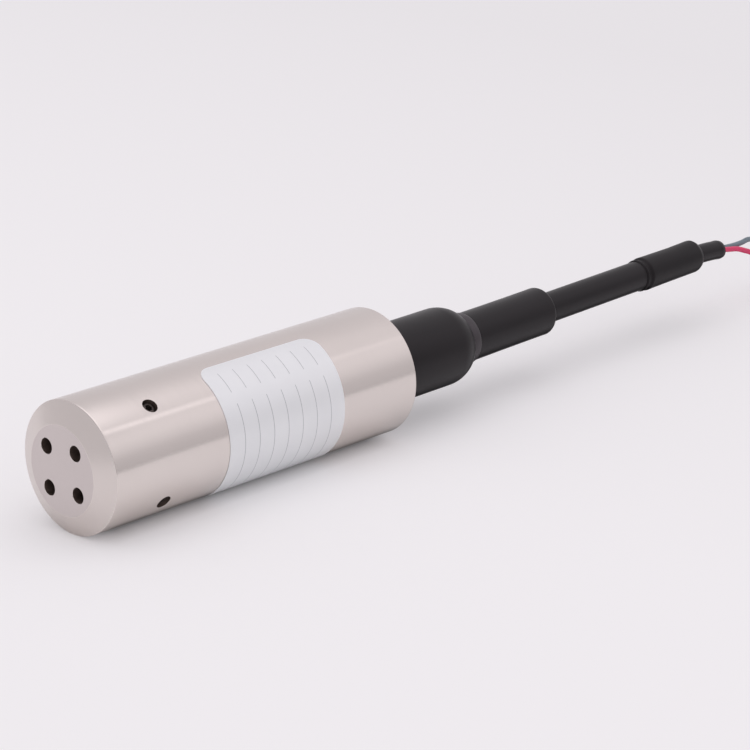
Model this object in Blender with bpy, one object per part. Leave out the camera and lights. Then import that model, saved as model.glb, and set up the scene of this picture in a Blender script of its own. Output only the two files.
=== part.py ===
# Submersible differential pressure level transmitter, lying on its side with its cable end.
# Metres, +Z up. The housing's axis runs along X, nose towards -X, and it rests on z = 0.
# The origin is under the middle of the housing with its boot and sleeve.
import math

import bmesh
import bpy
from mathutils import Vector

# Clearances
FIT_GAP = 0.0003
LABEL_BOND = 0.0001

# Facets round the turned pieces
HOUSING_SIDES = 64
BOOT_SIDES = 48
INNER_SIDES = 32
SMALL_SIDES = 16

# Housing, turned from stainless bar with a closed conical nose
HOUSING_RADIUS = 0.014
HOUSING_LENGTH = 0.0873
HOUSING_WALL = 0.003
NOSE_CONE_DEPTH = 0.0022
NOSE_FLAT_RADIUS = 0.0094
NOSE_WALL = 0.004
RIM_EASE = 0.0003
REAR_CHAMFER = 0.0005
CHAMBER_RADIUS = 0.009
CHAMBER_DEPTH = 0.0073
PORT_RADIUS = 0.00165
PORT_PITCH_RADIUS = 0.0061
PORT_ANGLES = [math.radians(48.2 + 90 * turn) for turn in range(4)]

# Grub screws that hold the sensor holder, one in each tapped side hole
SCREW_FROM_NOSE = 0.0163
SCREW_RADIUS = 0.00135
SCREW_RECESS = 0.0007
SCREW_BEVEL = 0.0003
SCREW_POINT = 0.0009
SOCKET_WIDTH = 0.0014
SOCKET_DEPTH = 0.0012
SCREW_ANGLES = [math.radians(54.8 + 90 * turn) for turn in range(4)]

# Wrap-round label, its ends as angles from the near side's horizontal, upwards
LABEL_FROM_NOSE = 0.0322
LABEL_WIDTH = 0.0328
LABEL_TOP_ANGLE = math.radians(75)
LABEL_BOTTOM_ANGLE = math.radians(-74)
LABEL_CORNER = 0.0035
LABEL_THICKNESS = 0.00015
LABEL_CORNER_STEPS = 5
LABEL_BODY_STEPS = 22

# Round seals
SEAL_SECTION_RADIUS = 0.0007
SEAL_SECTION_SIDES = 8

# Sensor holder, cell and diaphragm
HOLDER_LENGTH = 0.0157
HOLDER_WALL = 0.0029
HOLDER_THROUGH_WALL = 0.0047
HOLDER_SPIGOT_LENGTH = 0.004
HOLDER_SPIGOT_STEP = 0.0015
SCREW_GROOVE_DEPTH = 0.0009
HOLDER_SEALS_FROM_FRONT = (0.0087, 0.0127)
CELL_LENGTH = 0.0057
CELL_SEAL_FROM_FRONT = 0.0032
DIAPHRAGM_THICKNESS = 0.0003
DIAPHRAGM_EDGE = 0.0003
DIAPHRAGM_WAVE = 0.0001
DIAPHRAGM_WAVES = 3
HEADER_THICKNESS = 0.0015
PIN_RADIUS = 0.0004
PIN_LENGTH = 0.0045
PIN_PITCH_RADIUS = 0.003

# Circuit board and what is soldered on it
BOARD_WIDTH = 0.0165
BOARD_THICKNESS = 0.0016
BOARD_DROP = 0.0015
WIRING_SPACE = 0.008
RIBBON_WIDTH = 0.005
RIBBON_THICKNESS = 0.0003
RIBBON_OVERLAP = 0.0035
CHIP_SIZE = (0.0062, 0.0052, 0.0017)
AMPLIFIER_SIZE = (0.0048, 0.0039, 0.0015)
REGULATOR_SIZE = (0.0048, 0.0035, 0.0016)
TRIMMER_SIZE = (0.0042, 0.0036, 0.0032)
CAPACITOR_RADIUS = 0.0016
CAPACITOR_HEIGHT = 0.0042
BLOCK_SIZE = (0.0055, 0.0086, 0.0052)
BLOCK_SCREW_RADIUS = 0.0012
BLOCK_WAY_RADIUS = 0.0010
BLOCK_WAY_DEPTH = 0.0022
BLOCK_PITCH = 0.0040
RING_LENGTH = 0.004
RING_WALL = 0.0032

# Rear plug, cable gland and collar
PLUG_LENGTH = 0.012
PLUG_SEAL_FROM_FRONT = 0.005
NECK_LENGTH = 0.010
NECK_WALL = 0.0012
GROMMET_WALL = 0.0014
GROMMET_LENGTH = 0.0055
WASHER_THICKNESS = 0.001
NUT_WALL = 0.0009
NUT_END = 0.0025
NUT_FROM_HOUSING = 0.002
COLLAR_LENGTH = 0.003
COLLAR_WALL = 0.0014

# Heat-shrink boot, measured from the housing's rear face
BOOT_WALL = 0.0006
BOOT_SHOULDER_START = 0.0212
BOOT_SHOULDER_LENGTH = 0.0062
BOOT_SHOULDER_POWER = 0.7
BOOT_SHOULDER_STEPS = 9
BOOT_LIP_LENGTH = 0.0027
BOOT_LIP_WALL = 0.00035

# Heat-shrink sleeve over the cable, squeezed thinner where the boot holds it
SLEEVE_RADIUS = 0.0056
SLEEVE_HELD_RADIUS = 0.0052
SLEEVE_STEP_LENGTH = 0.0006
SLEEVE_BEYOND_BOOT = 0.0264
SLEEVE_END_ROUND = 0.0018
SLEEVE_END_STEPS = 5

# Cable and what is on its end
CABLE_RADIUS = 0.00353
CABLE_BARE_LENGTH = 0.0345
CABLE_RISE_START = 0.0153
CABLE_RISE_LENGTH = 0.090
CABLE_RISE = 0.00185
SHEATH_DROOP = 0.0007
SHEATH_DROOP_LENGTH = 0.012
END_SLEEVE_LENGTH = 0.0224
END_SLEEVE_RADIUS = 0.0039
END_SLEEVE_TAPER = 0.0028
END_SLEEVE_MOUTH_WALL = 0.0003
BEAD_FROM_START = 0.0019
BEAD_HEIGHT = 0.00015
BEAD_HALF_LENGTH = 0.0018
SHEATH_RADIUS = 0.0023
SHEATH_BEYOND_SLEEVE = 0.0098
SHEATH_TIP_STEP = 0.0004
LEAD_RADIUS = 0.00065
LEAD_INSERTED = 0.0047
TIP_RADIUS = 0.0004
TIP_LENGTH = 0.006

# Wires inside the housing
INNER_LEAD_RADIUS = 0.00065
VENT_RADIUS = 0.0008
INNER_LEAD_SPREAD = 0.0013
INNER_LEAD_HEIGHT = 0.0012
VENT_IN_CABLE_DEPTH = 0.0014
WIRE_POINTS = 9

# Round pieces get their true nominal size across flats
AXIS_Z = HOUSING_RADIUS

# Radii that follow from the housing's bore, from outside inwards
BORE_RADIUS = HOUSING_RADIUS - HOUSING_WALL
HOLDER_RADIUS = BORE_RADIUS - FIT_GAP
POCKET_RADIUS = HOLDER_RADIUS - HOLDER_WALL
HOLDER_THROUGH_RADIUS = HOLDER_RADIUS - HOLDER_THROUGH_WALL
CELL_RADIUS = POCKET_RADIUS - FIT_GAP
CABLE_HOLE_RADIUS = CABLE_RADIUS + FIT_GAP
GROMMET_RADIUS = CABLE_HOLE_RADIUS + GROMMET_WALL
GROMMET_POCKET_RADIUS = GROMMET_RADIUS + FIT_GAP
NECK_RADIUS = GROMMET_POCKET_RADIUS + NECK_WALL
NUT_BORE_RADIUS = NECK_RADIUS + FIT_GAP
NUT_RADIUS = NUT_BORE_RADIUS + NUT_WALL
BOOT_BORE_RADIUS = NUT_RADIUS + FIT_GAP
BOOT_RADIUS = BOOT_BORE_RADIUS + BOOT_WALL
SLEEVE_BORE_RADIUS = CABLE_HOLE_RADIUS
LIP_BORE_RADIUS = SLEEVE_HELD_RADIUS + FIT_GAP
LIP_RADIUS = LIP_BORE_RADIUS + BOOT_LIP_WALL
SCREW_HOLE_RADIUS = SCREW_RADIUS + FIT_GAP
SCREW_GROOVE_RADIUS = HOLDER_RADIUS - SCREW_GROOVE_DEPTH
SHEATH_BORE_RADIUS = 2 * LEAD_RADIUS + 1.5 * FIT_GAP
LEAD_OFFSET = LEAD_RADIUS + FIT_GAP / 2

# Arc length of the label's height round the housing
LABEL_HEIGHT = HOUSING_RADIUS * (LABEL_TOP_ANGLE - LABEL_BOTTOM_ANGLE)

# Stations along the axis, from the nose backwards
BOOT_LENGTH = BOOT_SHOULDER_START + BOOT_SHOULDER_LENGTH + BOOT_LIP_LENGTH
SLEEVE_END_FROM_NOSE = HOUSING_LENGTH + BOOT_LENGTH + SLEEVE_BEYOND_BOOT
NOSE_X = -SLEEVE_END_FROM_NOSE / 2
CHAMBER_END_X = NOSE_X + NOSE_WALL + CHAMBER_DEPTH
SCREW_X = NOSE_X + SCREW_FROM_NOSE
REAR_X = NOSE_X + HOUSING_LENGTH
HOLDER_X = CHAMBER_END_X + FIT_GAP
CELL_REAR_X = HOLDER_X + CELL_LENGTH
HEADER_X = CELL_REAR_X + 2 * FIT_GAP
PIN_END_X = HEADER_X + HEADER_THICKNESS + PIN_LENGTH
HOLDER_REAR_X = HOLDER_X + HOLDER_LENGTH
SPIGOT_END_X = HOLDER_REAR_X + HOLDER_SPIGOT_LENGTH
PLUG_X = REAR_X - PLUG_LENGTH
NECK_END_X = REAR_X + NECK_LENGTH
GROMMET_X = NECK_END_X - GROMMET_LENGTH - WASHER_THICKNESS - 3 * FIT_GAP
WASHER_X = GROMMET_X + GROMMET_LENGTH + FIT_GAP
NUT_X = REAR_X + NUT_FROM_HOUSING
NUT_PRESS_X = WASHER_X + WASHER_THICKNESS + FIT_GAP
NUT_END_X = NECK_END_X + FIT_GAP + NUT_END
COLLAR_X = PLUG_X - FIT_GAP - COLLAR_LENGTH
BOARD_X = HOLDER_REAR_X + FIT_GAP
BOARD_END_X = COLLAR_X - WIRING_SPACE
BOOT_X = REAR_X + FIT_GAP
BOOT_SHOULDER_X = REAR_X + BOOT_SHOULDER_START
LIP_X = BOOT_SHOULDER_X + BOOT_SHOULDER_LENGTH
BOOT_END_X = REAR_X + BOOT_LENGTH
SLEEVE_X = NUT_END_X + FIT_GAP
SLEEVE_END_X = NOSE_X + SLEEVE_END_FROM_NOSE
CABLE_X = COLLAR_X
END_SLEEVE_X = SLEEVE_END_X + CABLE_BARE_LENGTH
CABLE_END_X = END_SLEEVE_X - FIT_GAP
END_SLEEVE_END_X = END_SLEEVE_X + END_SLEEVE_LENGTH
SHEATH_END_X = END_SLEEVE_END_X + SHEATH_BEYOND_SLEEVE
CABLE_RISE_X = REAR_X + CABLE_RISE_START
DROOP_X = SHEATH_END_X - SHEATH_DROOP_LENGTH

# Heights above the axis
BOARD_TOP = BOARD_THICKNESS / 2 - BOARD_DROP
BOARD_BOTTOM = BOARD_TOP - BOARD_THICKNESS
PART_BASE = BOARD_TOP + FIT_GAP


def clear_scene():
    for item in list(bpy.data.objects):
        bpy.data.objects.remove(item, do_unlink=True)


def make_material(name, color, roughness, metallic=0.0):
    made = bpy.data.materials.new(name)
    made.use_nodes = True
    shader = made.node_tree.nodes["Principled BSDF"]
    shader.inputs["Base Color"].default_value = (*color, 1.0)
    shader.inputs["Roughness"].default_value = roughness
    shader.inputs["Metallic"].default_value = metallic
    made.diffuse_color = (*color, 1.0)
    return made


def finish_solid(mesh_data, name, material, place, smooth=True):
    """Turns a bmesh into a named object with its material, standing at place."""
    bmesh.ops.recalc_face_normals(mesh_data, faces=mesh_data.faces[:])
    mesh = bpy.data.meshes.new(name)
    mesh_data.to_mesh(mesh)
    mesh_data.free()
    if smooth:
        mesh.shade_smooth()
        mesh.set_sharp_from_angle(angle=math.radians(35))
    made = bpy.data.objects.new(name, mesh)
    made.data.materials.append(material)
    made.location = place
    bpy.context.scene.collection.objects.link(made)
    return made


def turned(name, profile, material, start_x, sides=INNER_SIDES, place=None):
    """A solid of revolution about X. The profile is (x, radius) from start_x, closed or axis to axis."""
    mesh_data = bmesh.new()
    half_step = math.pi / sides
    points = []
    for x, radius in profile:
        corner = radius / math.cos(half_step)
        spot = (x, corner * math.sin(half_step), corner * math.cos(half_step))
        points.append(mesh_data.verts.new(spot))
    edges = [mesh_data.edges.new(pair) for pair in zip(points, points[1:])]
    if profile[0][1] > 0 or profile[-1][1] > 0:
        edges.append(mesh_data.edges.new((points[-1], points[0])))
    bmesh.ops.spin(
        mesh_data,
        geom=points + edges,
        cent=(0, 0, 0),
        axis=(1, 0, 0),
        angle=2 * math.pi,
        steps=sides,
        use_merge=True,
    )
    bmesh.ops.remove_doubles(mesh_data, verts=mesh_data.verts[:], dist=1e-7)
    return finish_solid(mesh_data, name, material, place or (start_x, 0, AXIS_Z))


def block(name, size, material, low_corner):
    """A plain box of that size, from its lowest corner, given from the axis."""
    mesh_data = bmesh.new()
    bmesh.ops.create_cube(mesh_data, size=1.0)
    bmesh.ops.scale(mesh_data, vec=size, verts=mesh_data.verts[:])
    middle = [low + side / 2 for low, side in zip(low_corner, size)]
    place = (middle[0], middle[1], middle[2] + AXIS_Z)
    return finish_solid(mesh_data, name, material, place, smooth=False)


def rod_cutter(name, radius, length, middle, direction, sides=SMALL_SIDES):
    """A round or many-sided bar that only cuts, centred at middle along direction."""
    mesh_data = bmesh.new()
    bmesh.ops.create_cone(
        mesh_data,
        cap_ends=True,
        segments=sides,
        radius1=radius,
        radius2=radius,
        depth=length,
    )
    made = finish_solid(mesh_data, name, CUTTER_MATERIAL, middle, smooth=False)
    made.rotation_euler = Vector(direction).to_track_quat("Z", "Y").to_euler()
    return made


def cut(target, cutter, operation="DIFFERENCE"):
    """Leaves an exact Boolean on target, and takes the cutter out of the model."""
    cutter.hide_render = True
    cutter.display_type = "WIRE"
    change = target.modifiers.new(cutter.name, "BOOLEAN")
    change.operation = operation
    change.solver = "EXACT"
    change.object = cutter


def cable_rise(x):
    """How far the cable's centre line lies above the housing's axis at x."""
    along = max(0.0, (x - CABLE_RISE_X) / CABLE_RISE_LENGTH)
    droop = max(0.0, (x - DROOP_X) / SHEATH_DROOP_LENGTH)
    return CABLE_RISE * along - SHEATH_DROOP * droop**2


def follow_cable(made):
    """Lifts each ring of a turned piece onto the cable's centre line."""
    for vertex in made.data.vertices:
        vertex.co.z += cable_rise(vertex.co.x + made.location.x)


def radial(angle, radius):
    """A point round the axis, from the near side's horizontal upwards."""
    return (-radius * math.cos(angle), AXIS_Z + radius * math.sin(angle))


def seal_major_radius(bore_radius):
    return bore_radius - FIT_GAP - SEAL_SECTION_RADIUS


def groove_points(middle_x, outer_radius, bore_radius):
    """The four corners of a seal's groove, on a piece that the bore holds."""
    half = SEAL_SECTION_RADIUS + FIT_GAP
    bottom = seal_major_radius(bore_radius) - half
    return [
        (middle_x - half, outer_radius),
        (middle_x - half, bottom),
        (middle_x + half, bottom),
        (middle_x + half, outer_radius),
    ]


def seal(name, middle_x, bore_radius):
    """A round rubber seal, seated in its groove."""
    major = seal_major_radius(bore_radius)
    step = 2 * math.pi / SEAL_SECTION_SIDES
    section = []
    for side in range(SEAL_SECTION_SIDES):
        angle = (side + 0.5) * step
        x = SEAL_SECTION_RADIUS * math.cos(angle)
        section.append((x, major + SEAL_SECTION_RADIUS * math.sin(angle)))
    return turned(name, section, SEAL_RUBBER, middle_x)


def wire(name, points, radius, material, resolution=2):
    """A round wire along points in world space, as a bevelled poly curve."""
    curve = bpy.data.curves.new(name, "CURVE")
    curve.dimensions = "3D"
    curve.bevel_depth = radius
    curve.bevel_resolution = resolution
    curve.use_fill_caps = True
    line = curve.splines.new("POLY")
    line.points.add(len(points) - 1)
    for spot, point in zip(line.points, points):
        spot.co = (*point, 1.0)
    curve.materials.append(material)
    made = bpy.data.objects.new(name, curve)
    bpy.context.scene.collection.objects.link(made)
    return made


def smooth_route(stations, steps):
    """Points on a smooth curve through the stations, with a few steps between each two."""
    spots = [Vector(station) for station in stations]
    ends = [2 * spots[0] - spots[1]] + spots + [2 * spots[-1] - spots[-2]]
    route = []
    for before, start, end, after in zip(ends, ends[1:], ends[2:], ends[3:]):
        for step in range(steps):
            t = step / steps
            blend = (
                2 * start
                + (end - before) * t
                + (2 * before - 5 * start + 4 * end - after) * t**2
                + (3 * start - before - 3 * end + after) * t**3
            )
            route.append(blend / 2)
    return route + [spots[-1]]


def eased_route(start, end, count):
    """Points from start to end along X that leave and arrive level."""
    first = Vector(start)
    last = Vector(end)
    route = []
    for index in range(count):
        t = index / (count - 1)
        turn = t * t * (3 - 2 * t)
        x = first.x + (last.x - first.x) * t
        y = first.y + (last.y - first.y) * turn
        route.append((x, y, first.z + (last.z - first.z) * turn))
    return route


def build_housing():
    """One turned piece: conical nose, flow chamber, bore, ports and tapped side holes."""
    cone_slope = NOSE_CONE_DEPTH / (HOUSING_RADIUS - NOSE_FLAT_RADIUS)
    chamber_end = NOSE_WALL + CHAMBER_DEPTH
    profile = [
        (0, 0),
        (0, NOSE_FLAT_RADIUS),
        (NOSE_CONE_DEPTH - RIM_EASE * cone_slope, HOUSING_RADIUS - RIM_EASE),
        (NOSE_CONE_DEPTH + RIM_EASE, HOUSING_RADIUS),
        (HOUSING_LENGTH - REAR_CHAMFER, HOUSING_RADIUS),
        (HOUSING_LENGTH, HOUSING_RADIUS - REAR_CHAMFER),
        (HOUSING_LENGTH, BORE_RADIUS),
        (chamber_end, BORE_RADIUS),
        (chamber_end, CHAMBER_RADIUS),
        (NOSE_WALL, CHAMBER_RADIUS),
        (NOSE_WALL, 0),
    ]
    housing = turned("housing", profile, STEEL, NOSE_X, HOUSING_SIDES)
    for number, angle in enumerate(PORT_ANGLES, 1):
        y, z = radial(angle, PORT_PITCH_RADIUS)
        middle = (NOSE_X + NOSE_WALL / 2, y, z)
        cutter = rod_cutter(f"nose_port_{number}_cut", PORT_RADIUS, 2 * NOSE_WALL, middle, (1, 0, 0))
        cut(housing, cutter)
    for number, angle in enumerate(SCREW_ANGLES, 1):
        y, z = radial(angle, HOUSING_RADIUS - HOUSING_WALL / 2)
        direction = (0, -math.cos(angle), math.sin(angle))
        name = f"screw_hole_{number}_cut"
        cutter = rod_cutter(name, SCREW_HOLE_RADIUS, 2 * HOUSING_WALL, (SCREW_X, y, z), direction)
        cut(housing, cutter)


def build_grub_screws():
    """Four hexagon-socket grub screws, points seated in the holder's groove."""
    length = HOUSING_RADIUS - SCREW_RECESS - SCREW_GROOVE_RADIUS - FIT_GAP
    profile = [
        (0, 0),
        (0, SCREW_RADIUS - SCREW_POINT),
        (SCREW_POINT, SCREW_RADIUS),
        (length - SCREW_BEVEL, SCREW_RADIUS),
        (length, SCREW_RADIUS - SCREW_BEVEL),
        (length, 0),
    ]
    socket_radius = SOCKET_WIDTH / 2 / math.cos(math.pi / 6)
    for number, angle in enumerate(SCREW_ANGLES, 1):
        y, z = radial(angle, SCREW_GROOVE_RADIUS + FIT_GAP)
        name = f"grub_screw_{number}"
        screw = turned(name, profile, DARK_STEEL, SCREW_X, SMALL_SIDES, (SCREW_X, y, z))
        direction = Vector((0, -math.cos(angle), math.sin(angle)))
        screw.rotation_euler = direction.to_track_quat("X", "Z").to_euler()
        y, z = radial(angle, HOUSING_RADIUS - SCREW_RECESS)
        cutter = rod_cutter(
            f"{name}_socket_cut", socket_radius, 2 * SOCKET_DEPTH, (SCREW_X, y, z), direction, 6
        )
        cut(screw, cutter)


def label_inset(arc):
    """How far a rounded corner draws the label's side in, at that arc length from its top."""
    from_end = min(arc, LABEL_HEIGHT - arc)
    if from_end >= LABEL_CORNER:
        return 0.0
    rest = LABEL_CORNER - from_end
    return LABEL_CORNER - math.sqrt(LABEL_CORNER**2 - rest**2)


def build_label():
    """A bare printed-film label with round corners, bonded round the near side."""
    corner = [
        LABEL_CORNER * (1 - math.cos(math.pi / 2 * step / LABEL_CORNER_STEPS))
        for step in range(LABEL_CORNER_STEPS)
    ]
    middle_length = LABEL_HEIGHT - 2 * LABEL_CORNER
    middle = [
        LABEL_CORNER + middle_length * step / LABEL_BODY_STEPS for step in range(LABEL_BODY_STEPS + 1)
    ]
    arcs = corner + middle + [LABEL_HEIGHT - arc for arc in reversed(corner)]
    inner = HOUSING_RADIUS + LABEL_BOND
    outer = inner + LABEL_THICKNESS
    mesh_data = bmesh.new()
    rungs = []
    for arc in arcs:
        angle = LABEL_TOP_ANGLE - arc / HOUSING_RADIUS
        inset = label_inset(arc)
        ends = (inset, LABEL_WIDTH - inset)
        rung = []
        for radius, x in ((inner, ends[0]), (inner, ends[1]), (outer, ends[1]), (outer, ends[0])):
            spot = (x, -radius * math.cos(angle), radius * math.sin(angle))
            rung.append(mesh_data.verts.new(spot))
        rungs.append(rung)
    for upper, lower in zip(rungs, rungs[1:]):
        for side in range(4):
            following = (side + 1) % 4
            mesh_data.faces.new((upper[side], upper[following], lower[following], lower[side]))
    mesh_data.faces.new(rungs[0])
    mesh_data.faces.new(rungs[-1])
    finish_solid(mesh_data, "label", LABEL_FILM, (NOSE_X + LABEL_FROM_NOSE, 0, AXIS_Z))


def build_sensor_holder():
    """Turned carrier: pocket for the cell, screw groove, two seal grooves, slotted spigot."""
    screw = SCREW_X - HOLDER_X
    spigot_radius = HOLDER_RADIUS - HOLDER_SPIGOT_STEP
    spigot_end = HOLDER_LENGTH + HOLDER_SPIGOT_LENGTH
    pocket_depth = CELL_LENGTH + FIT_GAP
    profile = [
        (0, POCKET_RADIUS),
        (0, HOLDER_RADIUS),
        (screw - SCREW_HOLE_RADIUS, HOLDER_RADIUS),
        (screw - SCREW_GROOVE_DEPTH, SCREW_GROOVE_RADIUS),
        (screw + SCREW_GROOVE_DEPTH, SCREW_GROOVE_RADIUS),
        (screw + SCREW_HOLE_RADIUS, HOLDER_RADIUS),
    ]
    for middle_x in HOLDER_SEALS_FROM_FRONT:
        profile += groove_points(middle_x, HOLDER_RADIUS, BORE_RADIUS)
    profile += [
        (HOLDER_LENGTH, HOLDER_RADIUS),
        (HOLDER_LENGTH, spigot_radius),
        (spigot_end, spigot_radius),
        (spigot_end, HOLDER_THROUGH_RADIUS),
        (pocket_depth, HOLDER_THROUGH_RADIUS),
        (pocket_depth, POCKET_RADIUS),
    ]
    holder = turned("sensor_holder", profile, STEEL, HOLDER_X)
    cut(holder, board_slot_cutter("holder_slot_cut", HOLDER_REAR_X, SPIGOT_END_X + FIT_GAP))
    for number, middle_x in enumerate(HOLDER_SEALS_FROM_FRONT, 1):
        seal(f"holder_seal_{number}", HOLDER_X + middle_x, BORE_RADIUS)


def board_slot_cutter(name, start_x, end_x):
    """The slot that the board slides into, with its clearance all round."""
    size = (end_x - start_x, BOARD_WIDTH + 2 * FIT_GAP, BOARD_THICKNESS + 2 * FIT_GAP)
    return block(name, size, CUTTER_MATERIAL, (start_x, -size[1] / 2, BOARD_BOTTOM - FIT_GAP))


def build_sensor_cell():
    """Oil-filled capsule in the holder's pocket, with its own seal and wavy diaphragm."""
    profile = [(0, 0), (0, CELL_RADIUS)]
    profile += groove_points(CELL_SEAL_FROM_FRONT, CELL_RADIUS, POCKET_RADIUS)
    profile += [(CELL_LENGTH, CELL_RADIUS), (CELL_LENGTH, 0)]
    turned("sensor_cell", profile, STEEL, HOLDER_X)
    seal("cell_seal", HOLDER_X + CELL_SEAL_FROM_FRONT, POCKET_RADIUS)
    radius = CELL_RADIUS - DIAPHRAGM_EDGE
    count = 2 * DIAPHRAGM_WAVES
    front = [(0, radius * step / count) for step in range(count)] + [(0, radius)]
    wavy = [
        (x + DIAPHRAGM_WAVE * (step % 2), ring_radius) for step, (x, ring_radius) in enumerate(front)
    ]
    back = [(x + DIAPHRAGM_THICKNESS, ring_radius) for x, ring_radius in reversed(wavy)]
    start_x = HOLDER_X - FIT_GAP - DIAPHRAGM_THICKNESS - DIAPHRAGM_WAVE
    turned("diaphragm", wavy + back, BRIGHT_STEEL, start_x)


def build_pin_header():
    """Glass-sealed header behind the cell, with four contact pins."""
    radius = HOLDER_THROUGH_RADIUS - FIT_GAP
    profile = [(0, 0), (0, radius), (HEADER_THICKNESS, radius), (HEADER_THICKNESS, 0)]
    header = turned("pin_header", profile, BRIGHT_STEEL, HEADER_X)
    overlap = HEADER_THICKNESS / 2
    length = PIN_LENGTH + overlap
    for number in range(4):
        angle = math.radians(45 + 90 * number)
        y, z = radial(angle, PIN_PITCH_RADIUS)
        middle = (PIN_END_X - length / 2, y, z)
        pin = rod_cutter(f"header_pin_{number + 1}_join", PIN_RADIUS, length, middle, (1, 0, 0), 8)
        cut(header, pin, "UNION")


def build_ribbon():
    """Flat flexible strip from the header's pins down onto the board."""
    start = Vector((PIN_END_X + FIT_GAP, 0, PIN_PITCH_RADIUS / 2))
    landing = Vector((SPIGOT_END_X + FIT_GAP, 0, PART_BASE + RIBBON_THICKNESS / 2))
    route = eased_route(start, landing, WIRE_POINTS)
    route.append((landing.x + RIBBON_OVERLAP, 0, landing.z))
    mesh_data = bmesh.new()
    rungs = []
    for x, _, z in route:
        rung = []
        for side, face in ((-1, -1), (1, -1), (1, 1), (-1, 1)):
            spot = (x, side * RIBBON_WIDTH / 2, z + face * RIBBON_THICKNESS / 2)
            rung.append(mesh_data.verts.new(spot))
        rungs.append(rung)
    for front, back in zip(rungs, rungs[1:]):
        for side in range(4):
            following = (side + 1) % 4
            mesh_data.faces.new((front[side], front[following], back[following], back[side]))
    mesh_data.faces.new(rungs[0])
    mesh_data.faces.new(rungs[-1])
    finish_solid(mesh_data, "sensor_ribbon", RIBBON_FILM, (0, 0, AXIS_Z), smooth=False)


def build_board():
    """Amplifier board with parts on both faces, and the ring that centres its rear end."""
    board_length = BOARD_END_X - BOARD_X
    size = (board_length, BOARD_WIDTH, BOARD_THICKNESS)
    block("circuit_board", size, BOARD_GREEN, (BOARD_X, -BOARD_WIDTH / 2, BOARD_BOTTOM))
    parts_x = SPIGOT_END_X + 2 * FIT_GAP + RIBBON_OVERLAP
    ring_x = BOARD_END_X - RING_LENGTH
    block_x = ring_x - FIT_GAP - BLOCK_SIZE[0]
    row_x = (block_x + parts_x) / 2
    side_y = BOARD_WIDTH / 4
    board_parts = [
        ("signal_chip", CHIP_SIZE, "top", -side_y, CHIP_BLACK),
        ("amplifier_chip", AMPLIFIER_SIZE, "top", side_y, CHIP_BLACK),
        ("zero_trimmer", TRIMMER_SIZE, "underside", -side_y, TRIMMER_BLUE),
        ("regulator", REGULATOR_SIZE, "underside", side_y, CHIP_BLACK),
    ]
    for name, part_size, face, y, material in board_parts:
        low_z = PART_BASE if face == "top" else BOARD_BOTTOM - FIT_GAP - part_size[2]
        block(name, part_size, material, (row_x - part_size[0] / 2, y - part_size[1] / 2, low_z))
    build_capacitor(block_x)
    build_terminal_block(block_x)
    build_centring_ring(ring_x)


def build_capacitor(block_x):
    """Small can capacitor beside the terminal block."""
    y = BOARD_WIDTH / 2 - CAPACITOR_RADIUS
    x = block_x + BLOCK_SIZE[0] / 2
    profile = [(0, 0), (0, CAPACITOR_RADIUS), (CAPACITOR_HEIGHT, CAPACITOR_RADIUS), (CAPACITOR_HEIGHT, 0)]
    place = (x, y, AXIS_Z + PART_BASE)
    can = turned("filter_capacitor", profile, BRIGHT_STEEL, x, SMALL_SIDES, place)
    can.rotation_euler = (0, -math.pi / 2, 0)


def build_terminal_block(block_x):
    """Two-way screw terminal for the cable's leads."""
    low_y = -BLOCK_SIZE[1] / 2 - CAPACITOR_RADIUS
    terminal = block("terminal_block", BLOCK_SIZE, TERMINAL_GREEN, (block_x, low_y, PART_BASE))
    top_z = AXIS_Z + PART_BASE + BLOCK_SIZE[2]
    for number, y in enumerate(terminal_ways(), 1):
        x = block_x + BLOCK_SIZE[0] / 2
        depth = 2 * BLOCK_SCREW_RADIUS
        well = rod_cutter(
            f"screw_well_{number}_cut", BLOCK_SCREW_RADIUS + FIT_GAP, depth, (x, y, top_z), (0, 0, 1)
        )
        cut(terminal, well)
        way_x = block_x + BLOCK_SIZE[0]
        way_z = AXIS_Z + PART_BASE + BLOCK_WAY_RADIUS + FIT_GAP
        way = rod_cutter(
            f"wire_way_{number}_cut", BLOCK_WAY_RADIUS, 2 * BLOCK_WAY_DEPTH, (way_x, y, way_z), (1, 0, 0)
        )
        cut(terminal, way)
        height = BLOCK_SCREW_RADIUS - FIT_GAP
        profile = [(0, 0), (0, BLOCK_SCREW_RADIUS), (height, BLOCK_SCREW_RADIUS), (height, 0)]
        place = (x, y, top_z - height)
        screw = turned(f"terminal_screw_{number}", profile, BRIGHT_STEEL, x, SMALL_SIDES, place)
        screw.rotation_euler = (0, -math.pi / 2, 0)


def terminal_ways():
    """The sideways places of the terminal's two ways."""
    return [-CAPACITOR_RADIUS + side * BLOCK_PITCH / 2 for side in (-1, 1)]


def build_centring_ring(ring_x):
    """Moulded ring that holds the board's rear end on the axis."""
    outer = BORE_RADIUS - FIT_GAP
    profile = tube_profile(RING_LENGTH, outer - RING_WALL, outer)
    ring = turned("centring_ring", profile, RING_WHITE, ring_x)
    cut(ring, board_slot_cutter("ring_slot_cut", ring_x - FIT_GAP, BOARD_END_X + FIT_GAP))


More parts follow.
